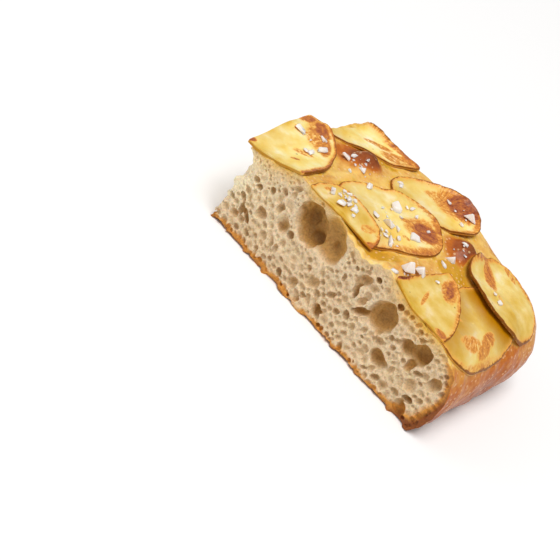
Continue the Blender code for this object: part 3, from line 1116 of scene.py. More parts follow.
@dataclass
class PotatoSlice:
    """One thin slice of potato with its skin on: an oval cut by knife lines, with a curled rim."""

    name: str
    # The oval, with the direction of its length in degrees
    centre: tuple[float, float]
    half_length: float
    half_width: float
    direction: float
    # How much wider one end is, and how square the oval is, where 2 makes an ellipse
    egg: float = 0.0
    squareness: float = 2.3
    # Cuts show the flesh, and flats are straight stretches of the rim
    cuts: Rows = ()
    flats: Rows = ()
    # Rise of the rim on the side that curls most, that side's direction, and rise all round
    curl: float = 0.0
    curl_towards: float = 0.0
    rim: float = 0.4
    # How wet the flesh is, from 0 to 1, which also paints shade on the slices that get less light
    moist: float = 0.4
    spots: tuple[Spot, ...] = ()
    rims: tuple[RimToast, ...] = ()
    thickness: float = 1.25
    # Share of the wall's height that has skin, and height of the bead just inside it
    peel: float = 0.5
    bead: float = 0.28
    # How finely the mesh is divided
    spokes: int = 224
    top_rings: int = 46
    bottom_rings: int = 12
    # The rounded wall: step in from the rim in millimetres, and share of the thickness
    wall: Rows = ((0.5, 1.02), (0.28, 0.99), (0.12, 0.92), (0.03, 0.8), (0.0, 0.62), (0.0, 0.5),
                  (0.02, 0.38), (0.06, 0.26), (0.12, 0.16), (0.35, 0.03))
    waves: Noise = field(default_factory=lambda: Noise(41, 6.0))
    wrinkles: Noise = field(default_factory=lambda: Noise(42, 1.7))

    def oval_radius(self, angle: Array) -> Array:
        """Find the distance from the centre to the uncut outline.

        Args:
            angle: Directions from the centre.

        Returns:
            The distances.
        """
        turned = angle - math.radians(self.direction)
        along = np.abs(np.cos(turned) / self.half_length) ** self.squareness
        across = np.abs(np.sin(turned) / self.half_width) ** self.squareness
        oval = (along + across) ** (-1.0 / self.squareness) * (1.0 + self.egg * np.cos(turned))
        return -smooth_max(-oval, -self.line_radius(angle, self.flats), 3.0)

    def cut_radius(self, angle: Array) -> Array:
        """Distance from the centre to the knife cuts, which is huge where no cut is met."""
        return self.line_radius(angle, self.cuts)

    def line_radius(self, angle: Array, lines: Rows) -> Array:
        """Find the distance from the centre to some straight lines.

        Args:
            angle: Directions from the centre.
            lines: A point of each line and its normal, which points to the side that is kept.

        Returns:
            The distance to the nearest line, which is huge where none is met.
        """
        radius = np.full_like(angle, 1e3)
        for x, y, normal_x, normal_y in lines:
            deep = (self.centre[0] - x) * normal_x + (self.centre[1] - y) * normal_y
            towards = -(np.cos(angle) * normal_x + np.sin(angle) * normal_y)
            radius = np.minimum(radius, np.where(towards > 1e-6, deep / np.maximum(towards, 1e-6), 1e3))
        return radius

    def inside(self, x: Array, y: Array) -> Array:
        """Find how far points lie inside the outline, seen from above.

        Args:
            x: Places along the front.
            y: Places towards the back.

        Returns:
            The distances, negative outside.
        """
        dx, dy = x - self.centre[0], y - self.centre[1]
        angle = np.arctan2(dy, dx)
        return np.minimum(self.oval_radius(angle), self.cut_radius(angle) + 2.0) - np.hypot(dx, dy)

    def ragged_oval(self, angle: Array) -> Array:
        """Find the uncut outline with its small bumps.

        Args:
            angle: Directions from the centre.

        Returns:
            The distances from the centre.
        """
        radius = self.oval_radius(angle)
        x = self.centre[0] + radius * np.cos(angle)
        y = self.centre[1] + radius * np.sin(angle)
        return radius + 0.4 * self.waves.at(x, y) + 0.12 * self.wrinkles.at(x, y) - 0.25

    def lift(self, x: Array, y: Array) -> Array:
        """Find how far the curled rim stands above the way the slice lies.

        Args:
            x: Places along the front.
            y: Places towards the back.

        Returns:
            The heights.
        """
        dx, dy = x - self.centre[0], y - self.centre[1]
        angle = np.arctan2(dy, dx)
        share = np.clip(np.hypot(dx, dy) / self.oval_radius(angle), 0.0, 1.0)
        side = np.maximum(0.0, 0.25 + 0.75 * np.cos(angle - math.radians(self.curl_towards)))
        return self.curl * side * share**4 + self.rim * share**6

    def toast(self, x: Array, y: Array, angle: Array, from_rim: Array) -> Array:
        """Find how brown the top is.

        Args:
            x: Places along the front.
            y: Places towards the back.
            angle: The same points' directions from the centre.
            from_rim: Their distances in from the rim.

        Returns:
            Values from 0 to 1.
        """
        brown = 0.3 * smooth(1.0 - from_rim / 1.8) + 0.12 * smooth(1.0 - from_rim / 5.0)
        for spot in self.spots:
            brown = np.maximum(brown, spot.at(x, y))
        for band in self.rims:
            brown = np.maximum(brown, band.at(angle, from_rim))
        return np.clip(brown, 0.0, 1.0)

    def profile(self) -> list[tuple[float, float, float, float]]:
        """The slice's section from the middle of the top, round the rim, to the middle of the bottom.

        Returns:
            Rows of share of the radius, step in from the rim in millimetres, share of the
            thickness, and share of skin, which covers only the upper part of the wall.
        """
        rows = []
        for i in range(1, self.top_rings + 1):
            rows.append((closer_to_rim(i / self.top_rings), 0.75, 1.0, 0.0))
        for step, high in self.wall:
            outer = float(smooth(np.array(1.1 - 2.0 * step)))
            upper = float(smooth(np.array((high - 1.0 + self.peel) / 0.2 + 0.5)))
            worn = 1.0 - 0.35 * math.exp(-((high - 0.45) / 0.2) ** 2)
            rows.append((1.0, step, high, outer * upper * worn))
        for i in range(self.bottom_rings, 0, -1):
            rows.append((i / self.bottom_rings, 0.9, 0.0, 0.0))
        return rows

    def form(self, ground: Ground, sheet: Array, above: tuple[PotatoSlice, ...]) -> Form:
        """Make the slice's mesh where it lies.

        Args:
            ground: The ground that it lies on.
            sheet: The ground's draped underside.
            above: The slices laid after it, beside which amber shade is painted on this one.

        Returns:
            The form, with what its points carry to the material.
        """
        angle = np.linspace(0.0, 2.0 * math.pi, self.spokes, endpoint=False)
        oval, cut = self.ragged_oval(angle), self.cut_radius(angle)
        outline = np.minimum(oval, cut)
        natural = smooth((cut - oval) / 0.8 + 0.5)
        rows = np.array(self.profile())
        share, step, high, skin = (rows[:, i, None] for i in range(4))
        radius = share * (outline - step * (0.35 + 0.65 * natural))
        turned = np.broadcast_to(angle, radius.shape)
        x = self.centre[0] + radius * np.cos(turned)
        y = self.centre[1] + radius * np.sin(turned)
        from_rim = np.maximum(np.broadcast_to(oval, radius.shape) - radius, 0.0)
        swell = self.bead * natural * np.exp(-((from_rim - 0.5) / 0.55) ** 2)
        relief = 0.35 * self.waves.at(0.7 * x, 0.7 * y, 9.0) + 0.08 * self.wrinkles.at(x, y, 4.0) + swell
        relief += 0.25 * self.waves.at(2.2 * x, 2.2 * y, 3.0) * np.exp(-from_rim / 3.0) * natural
        tall = self.thickness * (1.0 - 0.2 * np.exp(-from_rim / 2.0))
        z = ground.read(sheet, x, y) + self.lift(x, y) + high * tall + relief * (high > 0.85)
        low = float(ground.read(sheet, *(np.array([c]) for c in self.centre))[0])
        middle = np.array([(*self.centre, low + self.thickness), (*self.centre, low)])
        points = np.concatenate([np.stack([x, y, z], axis=-1).reshape(-1, 3), middle])
        under = high < 0.7
        toast = self.toast(x, y, turned, from_rim) * np.where(under, 0.2, 1.0)
        to_cut = np.maximum(np.broadcast_to(cut, radius.shape) - radius, 0.0)
        # Wetter, deeper yellow flesh: oil, most near the knife cuts, and painted shade set per slice
        moist = self.moist + 0.3 * self.waves.at(0.4 * x, 0.4 * y, 6.0) + 0.5 * np.exp(-to_cut / 4.0)
        # Painted amber shade on the lower wall, and beside each slice laid over this one, deeper where that
        # one curls up higher
        painted_amber_shade = 0.8 * under * np.ones_like(x)
        for potato in above:
            most = min(1.0, 0.25 + 0.25 * potato.curl)
            painted_amber_shade = np.maximum(painted_amber_shade, most * smooth(0.95 + potato.inside(x, y) / 17.0))
        ray = 15.0 / PotatoFinish.streak_width
        # What the rings carry, and what the two points in the middle do
        values = {
            "toast": (toast, 0.0),
            "skin": (skin * natural, 0.0),
            "rim": (from_rim + 1.2 * under, 20.0),
            "moist": (np.clip(moist, 0.0, 1.0), self.moist),
            "painted_amber_shade": (painted_amber_shade, 0.0),
            "ray_x": (ray * np.cos(turned), 0.0),
            "ray_y": (ray * np.sin(turned), 0.0),
        }
        carried = {name: np.append(outer.ravel(), (inner,) * 2) for name, (outer, inner) in values.items()}
        return Form(points, self.faces(len(rows)), carried)

    def faces(self, rows: int) -> list[tuple[int, ...]]:
        """Join the rings of points, with a fan at the middle of the top and the bottom.

        Args:
            rows: How many rings there are.

        Returns:
            The faces.
        """
        n = self.spokes
        around = [(i, (i + 1) % n) for i in range(n)]
        top, bottom = rows * n, rows * n + 1
        made: list[tuple[int, ...]] = [(top, i, j) for i, j in around]
        for row in range(rows - 1):
            low, high = row * n, (row + 1) * n
            made += [(low + i, high + i, high + j, low + j) for i, j in around]
        last = (rows - 1) * n
        made += [(last + i, bottom, last + j) for i, j in around]
        return made

    def lay(self, ground: Ground, finish: bpy.types.Material, above: tuple[PotatoSlice, ...]) -> None:
        """Lay the slice on the ground, and raise the ground to its top.

        Args:
            ground: The ground that it lies on.
            finish: The potato's material.
            above: The slices laid after it.
        """
        sheet = ground.draped()
        piece = self.form(ground, sheet, above).made(self.name, finish)
        settle(piece, self.name)
        top = sheet + self.lift(ground.x, ground.y) + self.thickness + 0.3
        ground.raise_to(self.inside(ground.x, ground.y) > -1.0, top)


# The slices in the order that they were laid
SLICES = (
    PotatoSlice(
        "potato_slice_edge_right", (117, 30), 31.0, 17.5, 90, squareness=2.6, cuts=(FRONT_CUT,), rim=0.1,
        moist=0.4, peel=0.25,
        spots=(Spot(124.5, 20, 7.0, 3.6, 70, 0.32), Spot(126.2, 33.5, 6.5, 3.0, 100, 0.42),
               Spot(129, 27, 6.0, 2.6, 95, 0.34), Spot(111, 22, 4, 1.2, 30, 0.22)),
        rims=(RimToast(-20, 90, 4.0, 0.34),)),
    PotatoSlice(
        "potato_slice_back", (60, 68.5), 24.0, 15.2, 33, egg=-0.04, squareness=2.2, curl=4.8,
        curl_towards=80, rim=0.3, moist=0.25, peel=0.2,
        spots=(Spot(65.0, 79.5, 13.0, 9.0, 30, 0.36), Spot(66.8, 81.0, 9.6, 6.8, 28, 0.7),
               Spot(54, 74, 5, 3, 40, 0.24)),
        rims=(RimToast(40, 120, 4.5, 0.42), RimToast(150, 60, 2.0, 0.3))),
    PotatoSlice(
        "potato_slice_middle", (58.5, 33), 28, 21.5, 53, egg=-0.04, rim=0.3, moist=0.25, peel=0.2,
        spots=(Spot(69.5, 44.0, 10.0, 7.6, 62, 0.34), Spot(71.0, 45.0, 7.6, 6.2, 60, 0.66),
               Spot(63, 40, 4, 2.0, 40, 0.34), Spot(70, 30, 2, 1.2, 20, 0.26)),
        rims=(RimToast(0, 100, 6.5, 0.46), RimToast(60, 80, 6.0, 0.44))),
    PotatoSlice(
        "potato_slice_front_middle", (49.8, 3), 18.8, 16.3, 0, squareness=3.2,
        cuts=(FRONT_CUT, MIDDLE_SLICE_END), rim=0.3, moist=0.52, peel=0.2,
        spots=(Spot(36, 9, 3, 1.4, 60, 0.4), Spot(60, 12, 5, 2.2, 70, 0.24),
               Spot(66, 7.5, 3, 1.2, 70, 0.5)),
        rims=(RimToast(110, 100, 2.0, 0.36), RimToast(20, 40, 2.0, 0.7))),
    PotatoSlice(
        "potato_slice_left", (13, 70.5), 31.5, 12.8, 40, egg=-0.05, cuts=(LEFT_CUT_BACK,),
        flats=((9.5, 81.5, 0.1, -0.995),), curl=4.0, curl_towards=110, rim=0.3, moist=0.0, peel=0.25,
        spots=(Spot(17, 74, 8, 1.8, 40, 0.34), Spot(28, 77, 9, 4.0, 40, 0.34),
               Spot(34, 85, 6, 4.0, 36, 0.42)),
        rims=(RimToast(-45, 90, 4.0, 0.46), RimToast(36, 60, 4.4, 0.5))),
    PotatoSlice(
        "potato_slice_front_left", (4, 15), 34.6, 22.3, 115, squareness=2.9,
        cuts=(FRONT_CUT, LEFT_CUT_FRONT), flats=((26.2, 0.0, -1.0, 0.0),), curl=0.6, curl_towards=-10,
        rim=0.4, moist=0.0, peel=1.0, thickness=1.9,
        spots=(Spot(5, 38, 12, 6.4, 130, 0.34), Spot(3.4, 42.5, 7.5, 3.4, 150, 0.6),
               Spot(13, 34, 7, 2.6, 125, 0.48), Spot(-6.5, 42, 5, 3.0, 60, 0.55),
               Spot(12, 19, 5, 2.0, 30, 0.3), Spot(1, 31, 6, 2.0, 20, 0.3),
               Spot(14.2, 9.4, 2.2, 1.3, 30, 0.35), Spot(-4.6, 1.4, 2.4, 1.5, 60, 0.75)),
        rims=(RimToast(75, 60, 2.0, 0.6), RimToast(20, 80, 2.2, 0.7), RimToast(-25, 60, 3.0, 0.75))),
    PotatoSlice(
        "potato_slice_front_right", (97.5, 7.5), 32.4, 20.5, 111, squareness=2.2, cuts=(FRONT_CUT,),
        flats=((86.5, 1.0, 0.99, -0.145),), curl=1.8, curl_towards=175, rim=0.3, moist=0.55, peel=0.3,
        spots=(Spot(100.5, 29, 8.0, 4.0, 120, 0.42), Spot(101, 29, 5.0, 2.4, 120, 0.68),
               Spot(98.7, 11, 6.0, 1.0, 110, 0.34), Spot(87.6, 4.6, 5.5, 1.1, 82, 0.95),
               Spot(116, 2.0, 3, 2.4, 0, 0.5)),
        rims=(RimToast(60, 100, 3.0, 0.34), RimToast(195, 60, 1.8, 0.9))),
    PotatoSlice(
        "potato_slice_edge_back", (111, 65), 22.0, 19.8, -15, squareness=2.3,
        flats=((91.2, 69.5, 0.99, -0.14),), curl=3.0, curl_towards=-115, rim=0.3, moist=0.5,
        thickness=1.5, peel=1.1,
        spots=(Spot(100.5, 65.5, 9.0, 3.2, -32, 0.44), Spot(100.5, 65.5, 6.0, 1.8, -32, 0.5),
               Spot(104, 81, 5, 2.0, -10, 0.28), Spot(112, 60, 5, 1.2, -30, 0.18)),
        rims=(RimToast(-130, 90, 1.6, 0.5), RimToast(90, 70, 3.2, 0.3), RimToast(170, 60, 3.8, 0.5))),
)


@dataclass
class Topping:
    """The potato slices, laid one after the other."""

    slices: tuple[PotatoSlice, ...] = SLICES

    def covers(self, x: Array, y: Array, fade: float) -> Array:
        """Find how well potato covers places seen from above.

        Args:
            x: Places along the front.
            y: Places towards the back.
            fade: Width in millimetres over which the cover ends at a slice's outline.

        Returns:
            Values from 0 to 1.
        """
        covered = np.zeros_like(x)
        for potato in self.slices:
            covered = np.maximum(covered, smooth(0.5 + potato.inside(x, y) / fade))
        return covered

    def build(self, ground: Ground) -> None:
        """Lay and dress all the slices.

        Args:
            ground: The ground that they lie on.
        """
        finish = PotatoFinish().material()
        for number, potato in enumerate(self.slices):
            potato.lay(ground, finish, self.slices[number + 1:])


# Flakes that show one by one: x, y and width
FLAKES = (
    (-0.7, 29.0, 3.0), (0.6, 30.4, 2.0), (7.8, 37.3, 2.4), (9.0, 38.2, 1.3), (13.8, 30.3, 3.2),
    (13.0, 22.7, 2.0), (10.9, 21.2, 1.8), (12.2, 24.6, 1.4), (19.8, 42.8, 2.6), (21.6, 46.6, 2.0),
    (27.4, 37.4, 1.6), (29.6, 43.4, 2.4), (37.2, 7.8, 3.2), (45.5, 5.4, 3.0), (39.6, 15.0, 1.6),
    (41.7, 15.8, 1.8), (47.6, 8.8, 2.2), (46.0, 15.6, 1.6), (50.3, 10.4, 2.4), (52.6, 6.8, 1.3),
    (41.0, 9.5, 1.4), (43.2, 11.2, 1.2), (44.6, 12.0, 2.2), (48.9, 12.6, 1.2), (39.4, 37.5, 2.2),
    (54.6, 24.2, 2.4), (54.6, 41.4, 3.8), (58.4, 48.8, 2.0), (56.2, 46.9, 1.2), (60.7, 26.2, 3.0),
    (64.4, 29.2, 2.2), (71.9, 34.9, 3.6), (66.9, 18.6, 4.2), (65.4, 20.0, 1.8), (62.1, 47.9, 1.4),
    (68.8, 25.4, 2.0), (71.0, 47.0, 1.1), (52.0, 33.0, 1.2), (59.5, 37.5, 1.4), (57.0, 30.0, 1.0),
    (63.6, 22.0, 1.4), (41.6, 60.5, 2.8), (43.4, 59.2, 1.6), (60.5, 77.0, 2.0), (73.3, 79.0, 3.2),
    (73.8, 72.4, 2.0), (66.0, 75.0, 1.0), (84.2, 59.6, 2.2), (87.0, 48.6, 2.6), (87.2, 42.4, 2.2),
    (84.8, 12.0, 3.8), (88.2, 18.4, 3.5), (83.2, 2.2, 2.4), (94.4, 26.5, 1.4), (114.3, 55.5, 1.8),
    (109.9, 57.4, 1.3), (84.5, 58.0, 1.0),
)
# Flakes with the shape of a small pyramid, by their place in the list
PYRAMIDS = (29, 44, 48, 50, 51)


@dataclass
class Salt:
    """Flakes of sea salt, lying where they fell and joined in one mesh."""

    seed: int = 51
    # How much wider a flake is made than the width in its list
    growth: float = 2.15
    # How far a flake and a pyramid may lean, in radians, and the share of its width that it sinks in
    lean: float = 0.35
    pyramid_lean: float = 0.25
    sink: float = 0.06
    crumbs: int = 44
    crumb_width: tuple[float, float] = (0.4, 1.1)
    # x, y and spread of the places round which the crumbs fell
    clusters: Rows = (
        (44, 10, 6), (60, 34, 11), (8, 32, 7), (27, 46, 6),
        (67, 20, 4), (72, 76, 5), (87, 55, 5), (86, 12, 4))

    def flake(self, rng: np.random.Generator, width: float,
              pyramid: bool) -> tuple[Array, list[tuple[int, ...]]]:
        """Make one angular flake about its own middle.

        Args:
            rng: Where the shape's chances come from.
            width: Width in millimetres.
            pyramid: Whether the crystal is a four-sided pyramid.

        Returns:
            Its points and faces.
        """
        form = bmesh.new()
        angle = np.sort(rng.uniform(0.0, 2.0 * math.pi, 8))
        reach = rng.uniform(0.6, 1.15, 8)
        outline = np.stack([reach * np.cos(angle), 0.8 * reach * np.sin(angle), np.full(8, -0.15)], axis=1)
        if pyramid:
            corners = outline[::2] * (1.0, 1.25, 1.0)
            tips = rng.uniform((-0.35, -0.3, 0.6), (0.25, 0.25, 1.0), (3, 3))
            places = np.concatenate([corners, tips]) + rng.uniform(-0.12, 0.12, (7, 3))
        else:
            top = outline[::2] * (0.8, 0.8, 1.0) + (0.0, 0.0, 0.4)
            places = np.concatenate([outline, top]) + rng.uniform(-0.1, 0.1, (12, 3))
        for place in places * width / 2:
            form.verts.new(place)
        hull = bmesh.ops.convex_hull(form, input=form.verts)
        bmesh.ops.delete(form, geom=list(set(hull["geom_interior"] + hull["geom_unused"])), context="VERTS")
        bmesh.ops.bevel(form, geom=form.edges[:], offset=0.03 * width, segments=1, affect="EDGES")
        form.verts.index_update()
        points = np.array([vertex.co for vertex in form.verts])
        faces = [tuple(vertex.index for vertex in face.verts) for face in form.faces]
        form.free()
        return points, faces

    def places(self, rng: np.random.Generator) -> list[Triple]:
        """List the flakes that show one by one, and then the crumbs of salt near them.

        Args:
            rng: Where the crumbs' chances come from.

        Returns:
            x, y and width of each.
        """
        made = list(FLAKES)
        for _ in range(self.crumbs):
            x, y, spread = self.clusters[rng.integers(len(self.clusters))]
            dx, dy = rng.normal(0.0, spread / 2, 2)
            made.append((x + dx, max(y + dy, 1.0), rng.uniform(*self.crumb_width)))
        return made

    def build(self, ground: Ground) -> None:
        """Scatter the flakes on the ground and dress them.

        Args:
            ground: What they lie on.
        """
        rng = np.random.default_rng(self.seed)
        points: list[Array] = []
        faces: list[tuple[int, ...]] = []
        count = 0
        for number, (x, y, width) in enumerate(self.places(rng)):
            pyramid = number in PYRAMIDS
            shape, sides = self.flake(rng, self.growth * width, pyramid)
            lean = self.pyramid_lean if pyramid else self.lean
            turn = Matrix.Rotation(rng.uniform(0, 2 * math.pi), 3, "Z")
            tip, tilt = (Matrix.Rotation(rng.uniform(-lean, lean), 3, axis) for axis in "XY")
            shape = shape @ np.array(tip @ tilt @ turn).T
            under = ground.read(ground.height, x + shape[:, 0], y + shape[:, 1])
            rise = float(np.percentile(under - shape[:, 2], 80)) - self.sink * width
            points.append(shape + (x, y, rise))
            faces += [tuple(count + i for i in side) for side in sides]
            count += len(shape)
        piece = Form(np.concatenate(points), faces).made("sea_salt_flakes", SaltFinish().material())
        piece.data.polygons.foreach_set("use_smooth", np.zeros(len(piece.data.polygons), bool))
        settle(piece)


Socket = bpy.types.NodeSocket
Value = Socket | float | tuple[float, ...]
Stops = tuple[tuple[float, str], ...]


def linear(colour: str) -> tuple[float, float, float, float]:
    """Turn an sRGB colour into the linear one that Blender's nodes take.

    Args:
        colour: The colour in hex, such as "#f1dab8".

    Returns:
        Linear red, green and blue, and full alpha.
    """
    channels = [int(colour[i:i + 2], 16) / 255.0 for i in (1, 3, 5)]
    red, green, blue = (c / 12.92 if c <= 0.04045 else ((c + 0.055) / 1.055) ** 2.4 for c in channels)
    return red, green, blue, 1.0


def per_metre(width: float) -> float:
    """Scale of a pattern whose features are some millimetres wide."""
    return 1.0 / (width * MM)


def node(tree: bpy.types.NodeTree, kind: str, links: dict[str, Value] | tuple[Value, ...] = (),
         stops: Stops = (), gives: str = "", **settings: object) -> Socket | None:
    """Add a node with its settings and links.

    Args:
        tree: The tree that the node is added to.
        kind: Blender's name for the kind of node, without its first word ShaderNode.
        links: What inputs get, which is another node's output or a fixed value. They are given by
            identifier, or in the order in which the node shows its inputs.
        stops: Places and sRGB colours along the node's ramp, if it has one.
        gives: Name of the output that is wanted, where it isn't the first.
        settings: The node's own settings.

    Returns:
        The wanted output, or None where the node has no output.
    """
    made = tree.nodes.new("ShaderNode" + kind)
    for name, value in settings.items():
        setattr(made, name, value)
    inputs = {socket.identifier: socket for socket in made.inputs if socket.enabled}
    given = links if isinstance(links, dict) else dict(zip(inputs, links))
    for name, value in given.items():
        if isinstance(value, Socket):
            tree.links.new(value, inputs[name])
        else:
            inputs[name].default_value = value
    if stops:
        ramp = made.color_ramp.elements
        while len(ramp) < len(stops):
            ramp.new(0.5)
        for element, (place, colour) in zip(ramp, stops):
            element.position = place
            element.color = linear(colour)
    if gives:
        return made.outputs[gives]
    return next((socket for socket in made.outputs if socket.enabled), None)


class Finish:
    """What a surface is made of. Each kind of finish lays out its own nodes."""

    NAME = "finish"

    def material(self) -> bpy.types.Material:
        """Build the material.

        Returns:
            The new material, named for what the real one is.
        """
        made = bpy.data.materials.new(self.NAME)
        made.use_nodes = True
        tree = made.node_tree
        tree.nodes.clear()
        place = node(tree, "TexCoord", gives="Object")
        node(tree, "OutputMaterial", {"Surface": self.shader(tree, place)})
        return made

    def shader(self, tree: bpy.types.NodeTree, place: Socket) -> Socket:
        """Lay out the nodes, from the place on the piece to the shader's output."""
        raise NotImplementedError


@dataclass(frozen=True)
class CrumbFinish(Finish):
    """Baked wheat crumb torn by a knife: matt cream walls, with warm brown shade painted into the hollows.
    """

    NAME = "wheat crumb, torn"
    wall: str = "#f1dab8"
    wall_warm: str = "#e0c294"
    # Pale cream of the painted light near the left cut
    torn: str = "#fff0ca"
    # Painted shade in the bubbles: warm brown just behind the cut, and dark brown far behind it
    hollow_shade: str = "#c49450"
    deep: str = "#80500e"
    oily: str = "#efba48"
    golden: str = "#dc983e"
    browned: str = "#8e4c18"
    # The finest pores are about 0.3 mm wide, and are drawn three times as coarse so that they show
    pore_width: float = 0.9
    cloud_width: float = 11.0
    scatter: Triple = (0.7, 0.38, 0.2)

    def shader(self, tree: bpy.types.NodeTree, place: Socket) -> Socket:
        """Tint the cream walls by what the crumb's points carry, with painted shade in the hollows and
        painted light near the left cut, and roughen them with pores.

        Args:
            tree: The material's tree.
            place: Place on the piece.

        Returns:
            The shader's output.
        """
        hollow_shade, browning, yellow, pale = (node(tree, "Attribute", gives="Fac", attribute_name=name)
                                          for name in ("hollow_shade", "browning", "yellow", "pale"))
        clouds = node(tree, "TexNoise", {
            "Vector": place, "Scale": per_metre(self.cloud_width), "Detail": 3.0})
        pores = node(tree, "TexNoise", {
            "Vector": place, "Scale": per_metre(self.pore_width), "Detail": 3.0, "Roughness": 0.6})
        # Painted shade in the bubbles, darker the further they run behind the cut
        inside = node(tree, "MapRange", (hollow_shade, 0.2, 4.8, 0.0, 1.0), interpolation_type="SMOOTHSTEP")
        far = node(tree, "MapRange", (hollow_shade, 5.0, 13.0, 0.0, 0.9))
        baked = node(tree, "MapRange", (browning, 0.05, 0.26))
        dark = node(tree, "MapRange", (browning, 0.28, 0.55))
        base = linear(self.wall)
        for amount, colour in (
                (clouds, self.wall_warm), (pale, self.torn), (inside, self.hollow_shade), (far, self.deep),
                (yellow, self.oily), (baked, self.golden), (dark, self.browned)):
            base = node(tree, "Mix", (amount, base, linear(colour)), data_type="RGBA")
        shade = node(tree, "MapRange", (pores, 0.3, 0.6, 0.72, 1.02))
        base = node(tree, "Mix", (1.0, base, shade), data_type="RGBA", blend_type="MULTIPLY")
        bump = node(tree, "Bump", {"Height": pores, "Strength": 0.6, "Distance": 0.6 * MM})
        return node(tree, "BsdfPrincipled", {
            "Base Color": base, "Roughness": 0.62, "Specular IOR Level": 0.35, "Normal": bump,
            "Subsurface Weight": 0.3, "Subsurface Radius": self.scatter, "Subsurface Scale": MM})


@dataclass(frozen=True)
class CrustFinish(Finish):
    """Oiled dough baked in a tin: a thin gloss over gold that turns tan and brown on blisters."""

    NAME = "oiled bread crust, baked"
    ramp: Stops = ((0.0, "#fadf98"), (0.16, "#f0c46e"), (0.34, "#dc9e4e"), (0.52, "#c26c26"),
                   (0.72, "#a4582e"), (1.0, "#6c361a"))
    # Oil on the crust: dark amber painted shade next to the slices, golden, then pale lemon further off
    oily: Stops = ((0.32, "#c8900e"), (0.46, "#e6aa20"), (0.62, "#f8d870"))
    # Pale dots: small bubbles in the skin, and painted glints
    bubble_and_glint_speck: str = "#f4cf9c"
    mottle_width: float = 2.6
    # Real wrinkles are half as wide, and are drawn this coarse so that they show
    wrinkle_width: float = 1.1
    bubble_width: float = 3.6
    speck_width: float = 2.6
    scatter: Triple = (0.8, 0.4, 0.15)

    def shader(self, tree: bpy.types.NodeTree, place: Socket) -> Socket:
        """Colour the crust by its browning, its oil and the painted amber shade beside the potato, with
        wrinkles, small bubbles, and pale specks that are partly painted glints.

        Args:
            tree: The material's tree.
            place: Place on the piece.

        Returns:
            The shader's output.
        """
        browning, yellow = (node(tree, "Attribute", gives="Fac", attribute_name=name)
                            for name in ("browning", "yellow"))
        mottle = node(tree, "TexNoise", {
            "Vector": place, "Scale": per_metre(self.mottle_width), "Detail": 5.0, "Roughness": 0.6})
        level = node(tree, "Math", (mottle, 0.44, -0.22), operation="MULTIPLY_ADD")
        level = node(tree, "Math", (level, browning))
        colour = node(tree, "ValToRGB", (level,), stops=self.ramp)
        oil = node(tree, "MapRange", (yellow, 0.3, 0.85, 0.0, 0.85))
        fade = node(tree, "MapRange", (level, 0.25, 0.5, 1.0, 0.0))
        oil = node(tree, "Math", (oil, fade), operation="MULTIPLY")
        # The more oil, the darker the amber: painted shade just beside the slices
        deep = node(tree, "Math", (yellow, -0.6, 0.36), operation="MULTIPLY_ADD")
        deep = node(tree, "Math", (deep, mottle))
        pool = node(tree, "ValToRGB", (deep,), stops=self.oily)
        colour = node(tree, "Mix", (oil, colour, pool), data_type="RGBA")
        # Pale dots, partly small bubbles and partly painted glints
        specks = node(tree, "TexVoronoi", {
            "Vector": place, "Scale": per_metre(self.speck_width), "Randomness": 1.0})
        dots = node(tree, "MapRange", (specks, 0.12, 0.3, 0.55, 0.0), interpolation_type="SMOOTHSTEP")
        colour = node(tree, "Mix", (dots, colour, linear(self.bubble_and_glint_speck)), data_type="RGBA")
        wrinkles = node(tree, "TexNoise", {
            "Vector": place, "Scale": per_metre(self.wrinkle_width), "Detail": 4.0, "Roughness": 0.7,
            "Distortion": 0.3})
        bubbly = node(tree, "TexVoronoi", {
            "Vector": place, "Scale": per_metre(self.bubble_width), "Smoothness": 0.6}, feature="SMOOTH_F1")
        bump = node(tree, "Bump", {"Height": bubbly, "Strength": 0.4, "Distance": 0.7 * MM}, invert=True)
        bump = node(tree, "Bump", {
            "Height": dots, "Strength": 0.5, "Distance": 0.3 * MM, "Normal": bump})
        bump = node(tree, "Bump", {
            "Height": wrinkles, "Strength": 0.2, "Distance": 0.4 * MM, "Normal": bump})
        rough = node(tree, "MapRange", (mottle, 0.3, 0.7, 0.26, 0.42))
        return node(tree, "BsdfPrincipled", {
            "Base Color": colour, "Roughness": rough, "Normal": bump, "Subsurface Weight": 0.3,
            "Subsurface Radius": self.scatter, "Subsurface Scale": MM, "Specular IOR Level": 0.02,
            "Coat Weight": 0.22, "Coat Roughness": 0.12})


